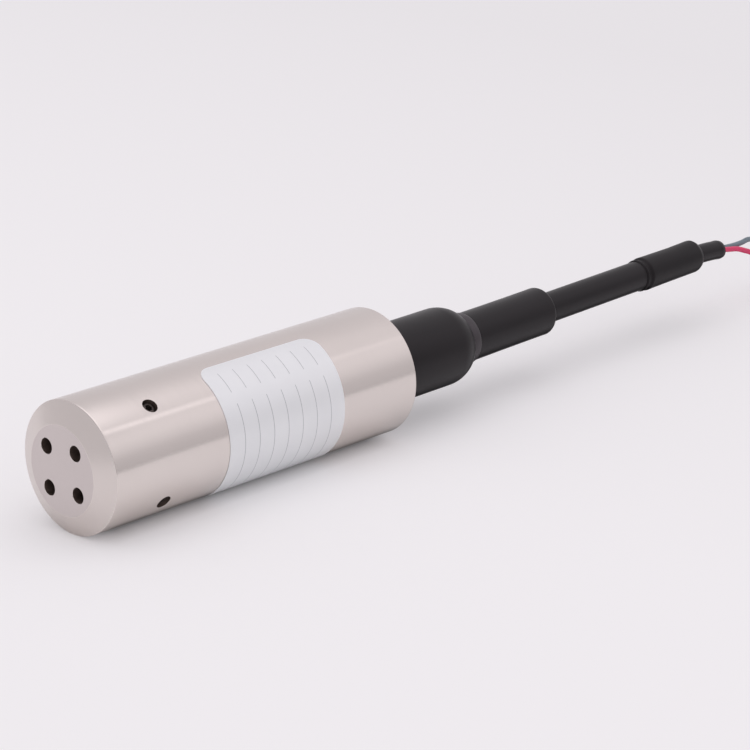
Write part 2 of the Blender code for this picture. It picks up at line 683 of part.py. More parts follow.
def build_inner_wires():
    """Two leads and the vent tube, between the cable's front end and what they serve."""
    block_rear = BOARD_END_X - RING_LENGTH - FIT_GAP
    way_z = AXIS_Z + PART_BASE + BLOCK_WAY_RADIUS + FIT_GAP
    start_x = block_rear - BLOCK_WAY_DEPTH + FIT_GAP
    cable_face = CABLE_X - FIT_GAP
    for name, side, way_y, material in zip(
        ("inner_lead_red", "inner_lead_grey"), (-1, 1), terminal_ways(), (LEAD_RED, LEAD_GREY)
    ):
        start = (start_x, way_y, way_z)
        end = (cable_face, side * INNER_LEAD_SPREAD, AXIS_Z + INNER_LEAD_HEIGHT)
        wire(name, eased_route(start, end, WIRE_POINTS), INNER_LEAD_RADIUS, material)
    vent_z = AXIS_Z - HOLDER_THROUGH_RADIUS + FIT_GAP + VENT_RADIUS
    start = (HEADER_X + HEADER_THICKNESS + FIT_GAP, 0, vent_z)
    turn = (BOARD_END_X, 0, vent_z)
    end = (cable_face, 0, AXIS_Z - VENT_IN_CABLE_DEPTH)
    route = [start] + eased_route(turn, end, WIRE_POINTS)
    wire("vent_tube", route, VENT_RADIUS, VENT_CLEAR)


def build_rear_plug():
    """Turned plug that closes the bore, with the gland's neck on it, and its seal."""
    outer = BORE_RADIUS - FIT_GAP
    neck_end = PLUG_LENGTH + NECK_LENGTH
    pocket = GROMMET_X - FIT_GAP - PLUG_X
    profile = [(0, CABLE_HOLE_RADIUS), (0, outer)]
    profile += groove_points(PLUG_SEAL_FROM_FRONT, outer, BORE_RADIUS)
    profile += [
        (PLUG_LENGTH, outer),
        (PLUG_LENGTH, NECK_RADIUS),
        (neck_end, NECK_RADIUS),
        (neck_end, GROMMET_POCKET_RADIUS),
        (pocket, GROMMET_POCKET_RADIUS),
        (pocket, CABLE_HOLE_RADIUS),
    ]
    turned("rear_plug", profile, STEEL, PLUG_X)
    seal("plug_seal", PLUG_X + PLUG_SEAL_FROM_FRONT, BORE_RADIUS)


def tube_profile(length, inner, outer):
    return [(0, inner), (0, outer), (length, outer), (length, inner)]


def build_gland():
    """Rubber grommet, washer and nut that seal on the cable, and the collar that holds it."""
    grommet = tube_profile(GROMMET_LENGTH, CABLE_HOLE_RADIUS, GROMMET_RADIUS)
    turned("gland_grommet", grommet, SEAL_RUBBER, GROMMET_X)
    washer = tube_profile(WASHER_THICKNESS, CABLE_HOLE_RADIUS, GROMMET_RADIUS)
    turned("gland_washer", washer, BRIGHT_STEEL, WASHER_X)
    seat = NECK_END_X + FIT_GAP - NUT_X
    end = NUT_END_X - NUT_X
    nut = [
        (0, NUT_BORE_RADIUS),
        (0, NUT_RADIUS),
        (end, NUT_RADIUS),
        (end, CABLE_HOLE_RADIUS),
        (NUT_PRESS_X - NUT_X, CABLE_HOLE_RADIUS),
        (NUT_PRESS_X - NUT_X, GROMMET_RADIUS),
        (seat, GROMMET_RADIUS),
        (seat, NUT_BORE_RADIUS),
    ]
    turned("gland_nut", nut, STEEL, NUT_X)
    collar = tube_profile(COLLAR_LENGTH, CABLE_HOLE_RADIUS, CABLE_HOLE_RADIUS + COLLAR_WALL)
    turned("cable_collar", collar, BRASS, COLLAR_X)


def shoulder_radius(along, full, small):
    """The boot's rounded shoulder, from its full radius to its lip."""
    return small + (full - small) * (1 - along**2) ** BOOT_SHOULDER_POWER


def build_boot():
    """Heat-shrink boot over the gland nut, drawn in to a thin lip on the sleeve."""
    shoulder = BOOT_SHOULDER_X - BOOT_X
    lip = LIP_X - BOOT_X
    end = BOOT_END_X - BOOT_X
    angles = [math.pi / 2 * step / BOOT_SHOULDER_STEPS for step in range(BOOT_SHOULDER_STEPS + 1)]
    steps = [math.sin(angle) for angle in angles]
    outside = [
        (shoulder + along * BOOT_SHOULDER_LENGTH, shoulder_radius(along, BOOT_RADIUS, LIP_RADIUS))
        for along in steps
    ]
    inside = [
        (
            shoulder - BOOT_WALL + along * BOOT_SHOULDER_LENGTH,
            shoulder_radius(along, BOOT_BORE_RADIUS, LIP_BORE_RADIUS),
        )
        for along in steps
    ]
    profile = [(0, BOOT_BORE_RADIUS), (0, BOOT_RADIUS)]
    profile += outside
    profile += [(end, LIP_RADIUS), (end, LIP_BORE_RADIUS)]
    profile += reversed(inside)
    follow_cable(turned("boot", profile, SHRINK_BLACK, BOOT_X, BOOT_SIDES))


def rounded_end(x_end, round_length, outer, inner, steps):
    """Profile points of a tube's end, rounded over from outer to inner."""
    points = []
    for step in range(steps + 1):
        angle = math.pi / 2 * step / steps
        x = x_end - round_length + round_length * math.sin(angle)
        points.append((x, inner + (outer - inner) * math.cos(angle)))
    return points


def build_sleeve():
    """Thick heat-shrink sleeve on the cable, from the gland nut out through the boot."""
    length = SLEEVE_END_X - SLEEVE_X
    free = BOOT_END_X + FIT_GAP - SLEEVE_X
    profile = [(0, SLEEVE_BORE_RADIUS), (0, SLEEVE_HELD_RADIUS)]
    for x in (BOOT_SHOULDER_X, LIP_X):
        profile.append((x - SLEEVE_X, SLEEVE_HELD_RADIUS))
    profile += [(free, SLEEVE_HELD_RADIUS), (free + SLEEVE_STEP_LENGTH, SLEEVE_RADIUS)]
    profile += rounded_end(
        length, SLEEVE_END_ROUND, SLEEVE_RADIUS, SLEEVE_BORE_RADIUS + FIT_GAP, SLEEVE_END_STEPS
    )
    profile.append((length, SLEEVE_BORE_RADIUS))
    for x in (BOOT_END_X, LIP_X, BOOT_SHOULDER_X):
        profile.append((x - SLEEVE_X, SLEEVE_BORE_RADIUS))
    follow_cable(turned("cable_sleeve", profile, SHRINK_BLACK, SLEEVE_X, BOOT_SIDES))


def build_cable():
    """The cable, from its collar in the housing to the end sleeve, straight as it is held."""
    spacing = 4 * CABLE_RADIUS
    count = max(2, round((CABLE_END_X - CABLE_X) / spacing) + 1)
    route = []
    for index in range(count):
        x = CABLE_X + (CABLE_END_X - CABLE_X) * index / (count - 1)
        route.append((x, 0, AXIS_Z + cable_rise(x)))
    wire("cable", route, CABLE_RADIUS, CABLE_BLACK, resolution=4)


def build_end_sleeve():
    """Thin heat-shrink sleeve that closes the cable's end, with its shrunk bead and taper."""
    bore = SHEATH_RADIUS + FIT_GAP
    mouth = bore + END_SLEEVE_MOUTH_WALL
    length = END_SLEEVE_LENGTH
    profile = [(0, bore), (0, END_SLEEVE_RADIUS)]
    profile.append((BEAD_FROM_START - BEAD_HALF_LENGTH, END_SLEEVE_RADIUS))
    profile.append((BEAD_FROM_START - BEAD_HALF_LENGTH / 2, END_SLEEVE_RADIUS + BEAD_HEIGHT))
    profile.append((BEAD_FROM_START + BEAD_HALF_LENGTH / 2, END_SLEEVE_RADIUS + BEAD_HEIGHT))
    profile.append((BEAD_FROM_START + BEAD_HALF_LENGTH, END_SLEEVE_RADIUS))
    profile.append((length / 2, END_SLEEVE_RADIUS))
    profile += rounded_end(length, END_SLEEVE_TAPER, END_SLEEVE_RADIUS, mouth, SLEEVE_END_STEPS)
    profile.append((length, bore))
    profile.append((length / 2, bore))
    follow_cable(turned("cable_end_sleeve", profile, SHRINK_BLACK, END_SLEEVE_X))


def build_inner_sheath():
    """The cable's inner sheath, out of the end sleeve, with the two leads in it."""
    length = SHEATH_END_X - END_SLEEVE_X
    droop = DROOP_X - END_SLEEVE_X
    outside = [(0, SHEATH_RADIUS), (length / 3, SHEATH_RADIUS), (droop, SHEATH_RADIUS)]
    steps = 5
    for step in range(1, steps + 1):
        x = droop + (length - droop) * step / steps
        outside.append((x, SHEATH_RADIUS - SHEATH_TIP_STEP * (step == steps)))
    inside = [(x, SHEATH_BORE_RADIUS) for x, _ in reversed(outside)]
    profile = outside + inside
    follow_cable(turned("inner_sheath", profile, CABLE_BLACK, END_SLEEVE_X, SMALL_SIDES))


def lead_stations(side, free_stations):
    """The lead's stations: level inside the sheath, then the free ones from its mouth."""
    inside_x = SHEATH_END_X - LEAD_INSERTED
    y = side * LEAD_OFFSET
    held = [(x, y, AXIS_Z + cable_rise(x)) for x in (inside_x, SHEATH_END_X)]
    return held + [(SHEATH_END_X + x, y + dy, z) for x, dy, z in free_stations]


def build_leads():
    """Red and grey leads: out of the sheath, down to the surface and along it, ends tinned."""
    floor_z = LEAD_RADIUS * 1.05
    red_stations = [
        (0.0035, 0.0000, 0.0150),
        (0.0064, -0.0001, 0.0145),
        (0.0093, -0.0003, 0.0135),
        (0.0120, -0.0006, 0.0123),
        (0.0170, -0.0015, 0.0086),
        (0.0220, -0.0026, 0.0040),
        (0.0280, -0.0038, floor_z),
        (0.0360, -0.0050, floor_z),
        (0.0440, -0.0055, floor_z),
        (0.0510, -0.0050, floor_z),
    ]
    grey_stations = [
        (0.0030, 0.0000, 0.0152),
        (0.0070, 0.0001, 0.0149),
        (0.0105, 0.0002, 0.0149),
        (0.0140, 0.0005, 0.0150),
        (0.0185, 0.0011, 0.0134),
        (0.0235, 0.0020, 0.0092),
        (0.0290, 0.0031, 0.0040),
        (0.0350, 0.0043, floor_z),
        (0.0430, 0.0054, floor_z),
        (0.0510, 0.0057, floor_z),
        (0.0580, 0.0050, floor_z),
    ]
    for name, side, stations, material in (
        ("red_lead", -1, red_stations, LEAD_RED),
        ("grey_lead", 1, grey_stations, LEAD_GREY),
    ):
        route = smooth_route(lead_stations(side, stations), 2)
        for spot in route:
            spot.z = max(spot.z, floor_z)
        wire(name, route, LEAD_RADIUS, material)
        onward = (route[-1] - route[-2]).normalized()
        start = route[-1] + FIT_GAP * onward
        wire(f"{name}_tip", [start, start + TIP_LENGTH * onward], TIP_RADIUS, TINNED_COPPER)


clear_scene()
CUTTER_MATERIAL = make_material("cutter", (0.8, 0.8, 0.8), 0.5)
STEEL = make_material("turned_stainless", (0.62, 0.59, 0.57), 0.32, 1.0)
BRIGHT_STEEL = make_material("bright_stainless", (0.72, 0.71, 0.70), 0.22, 1.0)
DARK_STEEL = make_material("blackened_screw_steel", (0.10, 0.085, 0.08), 0.45, 0.8)
BRASS = make_material("collar_brass", (0.70, 0.52, 0.25), 0.35, 1.0)
LABEL_FILM = make_material("label_film", (0.72, 0.74, 0.80), 0.45)
SEAL_RUBBER = make_material("seal_rubber", (0.03, 0.03, 0.03), 0.6)
SHRINK_BLACK = make_material("heat_shrink_black", (0.022, 0.020, 0.021), 0.48)
CABLE_BLACK = make_material("cable_jacket_black", (0.024, 0.022, 0.023), 0.52)
LEAD_RED = make_material("lead_red", (0.60, 0.03, 0.12), 0.4)
LEAD_GREY = make_material("lead_grey", (0.26, 0.30, 0.33), 0.4)
TINNED_COPPER = make_material("tinned_copper", (0.70, 0.68, 0.64), 0.3, 1.0)
VENT_CLEAR = make_material("vent_tube_plastic", (0.75, 0.76, 0.74), 0.3)
BOARD_GREEN = make_material("board_green", (0.02, 0.16, 0.06), 0.4)
CHIP_BLACK = make_material("chip_black", (0.02, 0.02, 0.02), 0.5)
TRIMMER_BLUE = make_material("trimmer_blue", (0.03, 0.12, 0.42), 0.4)
TERMINAL_GREEN = make_material("terminal_green", (0.05, 0.35, 0.12), 0.45)
RING_WHITE = make_material("ring_plastic", (0.78, 0.77, 0.73), 0.45)
RIBBON_FILM = make_material("ribbon_film", (0.55, 0.28, 0.06), 0.4)

build_housing()
build_grub_screws()
build_label()
build_sensor_holder()
build_sensor_cell()
build_pin_header()
build_ribbon()
build_board()
build_inner_wires()
build_rear_plug()
build_gland()
build_boot()
build_sleeve()
build_cable()
build_end_sleeve()
build_inner_sheath()
build_leads()
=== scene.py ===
import math

import bpy
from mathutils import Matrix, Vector


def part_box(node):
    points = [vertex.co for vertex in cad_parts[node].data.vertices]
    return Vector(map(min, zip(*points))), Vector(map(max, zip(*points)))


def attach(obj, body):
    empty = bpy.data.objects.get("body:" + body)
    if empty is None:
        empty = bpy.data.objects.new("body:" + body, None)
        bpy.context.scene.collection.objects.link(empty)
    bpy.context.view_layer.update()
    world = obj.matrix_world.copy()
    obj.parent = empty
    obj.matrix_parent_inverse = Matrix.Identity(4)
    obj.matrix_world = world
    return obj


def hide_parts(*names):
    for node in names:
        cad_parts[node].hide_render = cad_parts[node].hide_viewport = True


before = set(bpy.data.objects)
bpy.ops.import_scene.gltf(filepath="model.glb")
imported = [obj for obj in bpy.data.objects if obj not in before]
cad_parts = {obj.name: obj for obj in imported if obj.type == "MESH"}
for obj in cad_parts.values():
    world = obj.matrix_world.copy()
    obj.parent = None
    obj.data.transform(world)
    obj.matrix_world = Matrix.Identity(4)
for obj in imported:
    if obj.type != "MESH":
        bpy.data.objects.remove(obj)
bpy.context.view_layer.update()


# Camera. It looks down past the nose along the probe, through the long lens whose slight
# perspective the photo shows.
camera_aim = Vector((0.01676, 0.0, 0.01243))
camera_distance = 0.6314
camera_azimuth = math.radians(-46.12)
camera_elevation = math.radians(18.54)
photo_width = 750
focal_length_in_pixels = 2905
level = math.cos(camera_elevation)
outward = Vector((
    math.sin(camera_azimuth) * level,
    -math.cos(camera_azimuth) * level,
    math.sin(camera_elevation),
))
bpy.ops.object.camera_add(location=camera_aim + camera_distance * outward)
camera = bpy.context.object
camera.rotation_euler = outward.to_track_quat("Z", "Y").to_euler()
camera.data.sensor_width = 36
camera.data.lens = camera.data.sensor_width * focal_length_in_pixels / photo_width
bpy.context.scene.camera = camera


# Cable. Black polyurethane jacket of 7 mm, extruded over the two leads and the air line. The
# gland grips it in the housing's rear, and it stands out stiff, rising a little on its way.
housing_low, housing_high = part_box("housing")
axis_z = (housing_low.z + housing_high.z) / 2
cable_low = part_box("cable")[0]
cable_radius = 0.00353
sheath_end_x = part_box("inner_sheath")[1].x
rise_start_x = housing_high.x + 0.0153
rise_slope = 0.00185 / 0.090
droop_length = 0.012
droop_depth = 0.0007
droop_start_x = sheath_end_x - droop_length


def centre(x):
    """The cable's centre line at x, where it rises slowly and its thin end droops."""
    rise = rise_slope * max(0.0, x - rise_start_x)
    droop = droop_depth * (max(0.0, x - droop_start_x) / droop_length) ** 2
    return Vector((x, 0.0, axis_z + rise - droop))


def add_node(tree, kind, **values):
    """A shader node with its inputs set, an input's name written with _ for a space."""
    made = tree.nodes.new(kind)
    for name, value in values.items():
        made.inputs[name.replace("_", " ")].default_value = value
    return made


def finish(name, colour, roughness, metallic=0.0):
    """A new node material: its tree, its surface shader and its Object coordinates."""
    material = bpy.data.materials.new(name)
    material.use_nodes = True
    tree = material.node_tree
    shader = tree.nodes["Principled BSDF"]
    shader.inputs["Base Color"].default_value = (*colour, 1.0)
    shader.inputs["Roughness"].default_value = roughness
    shader.inputs["Metallic"].default_value = metallic
    place = tree.nodes.new("ShaderNodeTexCoord").outputs["Object"]
    return material, tree, shader, place


def noise(tree, place, size, stretch=(1.0, 1.0, 1.0), detail=2.0):
    """Soft random shades over blotches of that size in metres, drawn out along an axis."""
    mapping = tree.nodes.new("ShaderNodeMapping")
    mapping.inputs["Scale"].default_value = [1.0 / reach for reach in stretch]
    tree.links.new(place, mapping.inputs["Vector"])
    made = add_node(tree, "ShaderNodeTexNoise", Scale=1.0 / size, Detail=detail)
    tree.links.new(mapping.outputs["Vector"], made.inputs["Vector"])
    return made.outputs["Fac"]


def map_range(tree, value, from_low, from_high, to_low, to_high):
    """Turns a value's range into another one, and holds it at both ends."""
    ends = {"From_Min": from_low, "From_Max": from_high, "To_Min": to_low, "To_Max": to_high}
    made = add_node(tree, "ShaderNodeMapRange", **ends)
    tree.links.new(value, made.inputs["Value"])
    return made.outputs["Result"]


def blend(tree, shades, stops):
    """Turns shades into colours, from (shade, colour) pairs."""
    ramp = tree.nodes.new("ShaderNodeValToRGB")
    elements = ramp.color_ramp.elements
    while len(elements) < len(stops):
        elements.new(0.5)
    for element, (at, colour) in zip(elements, stops):
        element.position = at
        element.color = (*colour, 1.0)
    tree.links.new(shades, ramp.inputs["Fac"])
    return ramp.outputs["Color"]


def vary(tree, shades, low, high, target):
    """Turns shades of 0.3 to 0.7 into values or colours from low to high at target."""
    if target.type == "RGBA":
        varied = blend(tree, shades, [(0.3, low), (0.7, high)])
    else:
        varied = map_range(tree, shades, 0.3, 0.7, low, high)
    tree.links.new(varied, target)


def emboss(tree, shader, shades, depth, strength=1.0):
    """Raises the surface by shades, up to depth in metres, over any relief it has already."""
    bump = add_node(tree, "ShaderNodeBump", Strength=strength, Distance=depth)
    tree.links.new(shades, bump.inputs["Height"])
    socket = shader.inputs["Normal"]
    if socket.is_linked:
        tree.links.new(socket.links[0].from_socket, bump.inputs["Normal"])
    tree.links.new(bump.outputs["Normal"], socket)


def black_plastic(name, colour, roughness, gloss, wave, wave_depth, grain, grain_depth):
    """Black flexible plastic: long faint waves, fine grain, and rubbed satin patches."""
    material, tree, shader, place = finish(name, colour, roughness)
    shader.inputs["Specular IOR Level"].default_value = gloss
    shader.inputs["Specular Tint"].default_value = (1.0, 0.93, 0.98, 1.0)
    patches = noise(tree, place, 0.006, stretch=(3.0, 1.0, 1.0))
    vary(tree, patches, roughness - 0.04, roughness + 0.05, shader.inputs["Roughness"])
    paler = [shade * 1.5 for shade in colour]
    vary(tree, patches, colour, paler, shader.inputs["Base Color"])
    emboss(tree, shader, noise(tree, place, wave, stretch=(2.5, 1.0, 1.0)), wave_depth)
    emboss(tree, shader, noise(tree, place, grain), grain_depth)
    return material


def cord_curve(name, points, radius, roundness):
    """A round cord on one smooth line through points, with closed ends."""
    line = bpy.data.curves.new(name, "CURVE")
    line.dimensions = "3D"
    line.bevel_depth = radius
    line.bevel_resolution = roundness
    line.use_fill_caps = True
    spline = line.splines.new("POLY")
    spline.points.add(len(points) - 1)
    for knot, point in zip(spline.points, points):
        knot.co = (*point, 1.0)
    spline.use_smooth = True
    cord = bpy.data.objects.new(name, line)
    bpy.context.scene.collection.objects.link(cord)
    return cord


jacket_black = black_plastic(
    "jacket_black", (0.0044, 0.0037, 0.0042), 0.36, 0.28, 0.004, 0.00003, 0.0003, 0.000004
)
cable_steps = 60
cable_inserted = 0.0015
cable_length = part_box("cable_end_sleeve")[0].x + cable_inserted - cable_low.x
cable_points = [
    centre(cable_low.x + cable_length * step / cable_steps) for step in range(cable_steps + 1)
]
cable = cord_curve("cable_jacket", cable_points, cable_radius, 14)
cable.data.materials.append(jacket_black)
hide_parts("cable")
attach(cable, "root")


# End sleeve and inner sheath. The jacket is cut back, and a short heat-shrink sleeve closes it on
# the thin inner sheath. Shrinking left a rolled edge and a groove at its start, and a slanted end
# with a wrinkle on top.
def eased(corners, steps=5):
    """A profile with each corner (x, radius, ease) rounded off over its ease."""
    rings = []
    for before, corner, after in zip(corners[-1:] + corners, corners, corners[1:] + corners[:1]):
        spot = Vector(corner[:2])
        ease = corner[2]
        if ease == 0:
            rings.append(tuple(spot))
            continue
        back = (Vector(before[:2]) - spot).normalized() * ease
        onward = (Vector(after[:2]) - spot).normalized() * ease
        for step in range(steps + 1):
            share = step / steps
            rings.append(tuple(spot + back * (1 - share) ** 2 + onward * share**2))
    return rings


def turned(name, rings, sides, tube=True, line=centre):
    """A round piece: a circle extruded ring by ring along its line, to each ring's radius.
    A tube's last ring is joined to its first, and a solid keeps the caps at both ends."""
    bpy.ops.object.select_all(action="DESELECT")
    x, radius = rings[0]
    bpy.ops.mesh.primitive_circle_add(
        vertices=sides,
        radius=radius,
        fill_type="NOTHING" if tube else "NGON",
        location=line(x),
        rotation=(0, math.pi / 2, 0),
    )
    piece = bpy.context.object
    piece.name = name
    bpy.ops.object.mode_set(mode="EDIT")
    for next_x, next_radius in rings[1:] + rings[:1] * tube:
        step = line(next_x) - line(x)
        if tube:
            bpy.ops.mesh.extrude_edges_move(TRANSFORM_OT_translate={"value": step})
        else:
            bpy.ops.mesh.extrude_region_move(TRANSFORM_OT_translate={"value": step})
        grown = next_radius / radius
        bpy.ops.transform.resize(value=(1, grown, grown), center_override=line(next_x))
        x = next_x
        radius = next_radius
    bpy.ops.mesh.select_all(action="SELECT")
    bpy.ops.mesh.remove_doubles(threshold=1e-6)
    bpy.ops.mesh.normals_make_consistent(inside=False)
    bpy.ops.object.mode_set(mode="OBJECT")
    bpy.ops.object.transform_apply(location=True, rotation=True, scale=True)
    bpy.ops.object.shade_smooth_by_angle(angle=math.radians(35))
    return piece


def dress(piece, material, slot, *nodes):
    """Gives a piece its finish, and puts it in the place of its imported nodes."""
    piece.data.materials.clear()
    piece.data.materials.append(material)
    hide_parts(*nodes)
    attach(piece, "root")


shrink_black = black_plastic(
    "shrink_black", (0.0040, 0.0033, 0.0037), 0.36, 0.295, 0.006, 0.00005, 0.00035, 0.000005
)
end_low, end_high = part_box("cable_end_sleeve")
sheath_radius = 0.0023
end_sleeve_radius = 0.0039
end_sleeve_x = end_low.x
end_sleeve_bore = sheath_radius + 0.0002
jacket_seat = end_sleeve_x + cable_inserted + 0.0002
jacket_gap = 0.00004
end_sleeve_rings = eased([
    (jacket_seat, end_sleeve_bore, 0),
    (jacket_seat, cable_radius + jacket_gap, 0),
    (end_sleeve_x, cable_radius + jacket_gap, 0.00002),
    (end_sleeve_x + 0.0005, end_sleeve_radius + 0.00004, 0.0003),
    (end_sleeve_x + 0.0008, end_sleeve_radius - 0.00034, 0.0001),
    (end_sleeve_x + 0.0016, end_sleeve_radius - 0.00032, 0.0002),
    (end_sleeve_x + 0.0021, end_sleeve_radius + 0.00012, 0.0003),
    (end_sleeve_x + 0.0045, end_sleeve_radius + 0.00006, 0.0010),
    (end_sleeve_x + 0.0120, end_sleeve_radius, 0.0020),
    (end_high.x - 0.0016, end_sleeve_radius - 0.00003, 0.0004),
    (end_high.x - 0.0003, 0.0033, 0.0003),
    (end_high.x, 0.0026, 0.0003),
    (end_high.x, end_sleeve_bore, 0),
])
end_sleeve = turned("end_sleeve", end_sleeve_rings, 96)
wrinkle_x = end_high.x - 0.0012
wrinkle_height = 0.0003
wrinkle_reach = 0.0028
wrinkle_foot = 0.66
for vertex in end_sleeve.data.vertices:
    above = (vertex.co.z - centre(vertex.co.x).z) / end_sleeve_radius
    near = max(0.0, 1 - abs(vertex.co.x - wrinkle_x) / wrinkle_reach)
    if above > wrinkle_foot:
        upwards = (above - wrinkle_foot) / (1 - wrinkle_foot)
        vertex.co.z += wrinkle_height * upwards * near**2 * (3 - 2 * near)
end_black = black_plastic(
    "end_black", (0.0030, 0.0025, 0.0028), 0.42, 0.26, 0.006, 0.00005, 0.00035, 0.000005
)
dress(end_sleeve, end_black, "heat_shrink", "cable_end_sleeve")

sheath_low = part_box("inner_sheath")[0]
sheath_bore = 0.00175
sheath_steps = 12
sheath_run = sheath_end_x - droop_start_x - 0.002
sheath_stations = [
    droop_start_x + sheath_run * step / sheath_steps for step in range(sheath_steps + 1)
]
sheath_corners = [(sheath_low.x, sheath_bore, 0), (sheath_low.x, sheath_radius, 0)]
sheath_corners += [(x, sheath_radius, 0) for x in sheath_stations]
sheath_corners += [
    (sheath_end_x - 0.0010, sheath_radius + 0.00008, 0.0004),
    (sheath_end_x, sheath_radius - 0.0001, 0.00015),
    (sheath_end_x, sheath_bore, 0.0001),
]
sheath_corners += [(x, sheath_bore, 0) for x in reversed(sheath_stations)]
inner_sheath = turned("lead_sheath", eased(sheath_corners), 64)
dress(inner_sheath, jacket_black, "cable_jacket", "inner_sheath")


# Leads. Two thin insulated wires, red and grey, come out of the inner sheath, sink to the surface
# and lie on it in loose curves. Their ends are stripped, and the strands are twisted and tinned.
lead_radius = 0.00065
lead_inserted = 0.0047
lead_spread = lead_radius + 0.00015
lead_floor_z = lead_radius * 1.05
tip_length = 0.0058
tip_gap = 0.0003
steps_between_stations = 8
red_stations = [
    (0.0035, 0.0, 0.0150),
    (0.0064, -0.0001, 0.0145),
    (0.0093, -0.0003, 0.0135),
    (0.0120, -0.0006, 0.0123),
    (0.0170, -0.0015, 0.0086),
    (0.0220, -0.0026, 0.0040),
    (0.0280, -0.0038, lead_floor_z),
    (0.0360, -0.0050, lead_floor_z),
    (0.0440, -0.0055, lead_floor_z),
    (0.0510, -0.0050, lead_floor_z),
]
grey_stations = [
    (0.0030, 0.0, 0.0152),
    (0.0070, 0.0001, 0.0149),
    (0.0105, 0.0002, 0.0149),
    (0.0140, 0.0005, 0.0150),
    (0.0185, 0.0011, 0.0134),
    (0.0235, 0.0020, 0.0092),
    (0.0290, 0.0031, 0.0040),
    (0.0350, 0.0043, lead_floor_z),
    (0.0430, 0.0054, lead_floor_z),
    (0.0510, 0.0057, lead_floor_z),
    (0.0580, 0.0050, lead_floor_z),
]


def smooth_route(stations, steps):
    """Points on one smooth curve through the stations."""
    ends = [2 * stations[0] - stations[1], *stations, 2 * stations[-1] - stations[-2]]
    route = []
    for before, start, end, after in zip(ends, ends[1:], ends[2:], ends[3:]):
        for step in range(steps):
            t = step / steps
            route.append((
                2 * start
                + (end - before) * t
                + (2 * before - 5 * start + 4 * end - after) * t**2
                + (3 * start - before - 3 * end + after) * t**3
            ) / 2)
    route.append(stations[-1])
    for spot in route:
        spot.z = max(spot.z, lead_floor_z)
    return route


def insulation(name, colour):
    """Glossy lead insulation with faint drawing lines along it."""
    material, tree, shader, place = finish(name, colour, 0.32)
    patches = noise(tree, place, 0.0012, stretch=(4.0, 1.0, 1.0))
    vary(tree, patches, 0.26, 0.40, shader.inputs["Roughness"])
    deeper = [shade * 0.82 for shade in colour]
    vary(tree, patches, deeper, colour, shader.inputs["Base Color"])
    emboss(tree, shader, noise(tree, place, 0.0004, stretch=(3.0, 1.0, 1.0)), 0.00001)
    return material


tinned, tree, shader, place = finish("tinned_strands", (0.72, 0.70, 0.66), 0.30, 1.0)
solder = noise(tree, place, 0.0006)
vary(tree, solder, 0.22, 0.42, shader.inputs["Roughness"])
vary(tree, solder, (0.60, 0.57, 0.53), (0.78, 0.76, 0.72), shader.inputs["Base Color"])
emboss(tree, shader, noise(tree, place, 0.00015), 0.000008)


def twisted_tip(name, start, onward):
    """Seven tinned strands: one straight, and six wound round it, blunt at their end."""
    strand_radius = 0.00013
    strand_steps = 24
    strand_turns = 1.5
    end_taper = 0.25
    across = onward.cross(Vector((0, 0, 1))).normalized()
    upward = across.cross(onward)
    strands = []
    for number in range(7):
        points = []
        for step in range(strand_steps + 1):
            share = step / strand_steps
            turn = math.tau * (number / 6 + strand_turns * share)
            aside = 0 if number == 6 else 2 * strand_radius * (1 - end_taper * share**3)
            offset = math.cos(turn) * across + math.sin(turn) * upward
            points.append(start + tip_length * share * onward + aside * offset)
        strands.append(cord_curve(f"{name}_strand_{number + 1}", points, strand_radius, 2))
    bpy.ops.object.select_all(action="DESELECT")
    for strand in strands:
        strand.select_set(True)
    bpy.context.view_layer.objects.active = strands[0]
    bpy.ops.object.convert(target="MESH")
    bpy.ops.object.join()
    tip = bpy.context.object
    tip.name = name
    bpy.ops.object.shade_smooth_by_angle(angle=math.radians(60))
    return tip


for colour_name, side, stations, colour in (
    ("red", -1, red_stations, (0.70, 0.024, 0.125)),
    ("grey", 1, grey_stations, (0.15, 0.20, 0.235)),
):
    held = [
        centre(x) + Vector((0, side * lead_spread, 0))
        for x in (sheath_end_x - lead_inserted, sheath_end_x)
    ]
    free = [Vector((sheath_end_x + x, side * lead_spread + y, z)) for x, y, z in stations]
    route = smooth_route(held + free, steps_between_stations)
    lead = cord_curve(f"{colour_name}_wire", route, lead_radius, 6)
    lead.data.materials.append(insulation(f"{colour_name}_insulation", colour))
    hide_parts(f"{colour_name}_lead")
    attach(lead, "root")
    onward = (route[-1] - route[-2]).normalized()
    tip = twisted_tip(f"{colour_name}_strands", route[-1] + tip_gap * onward, onward)
    dress(tip, tinned, "tinned_copper", f"{colour_name}_lead_tip")


# Housing. One turned piece of stainless bar, 28 mm across: a flat nose disc in a shallow cone, a
# flow chamber behind four drilled ports, and the bore for the works. Turned marks run round it.
def math_node(tree, operation, first, second=0.0):
    """A math node's value, from a socket and a second socket or a number."""
    made = tree.nodes.new("ShaderNodeMath")
    made.operation = operation
    tree.links.new(first, made.inputs[0])
    if isinstance(second, (int, float)):
        made.inputs[1].default_value = second
    else:
        tree.links.new(second, made.inputs[1])
    return made.outputs["Value"]


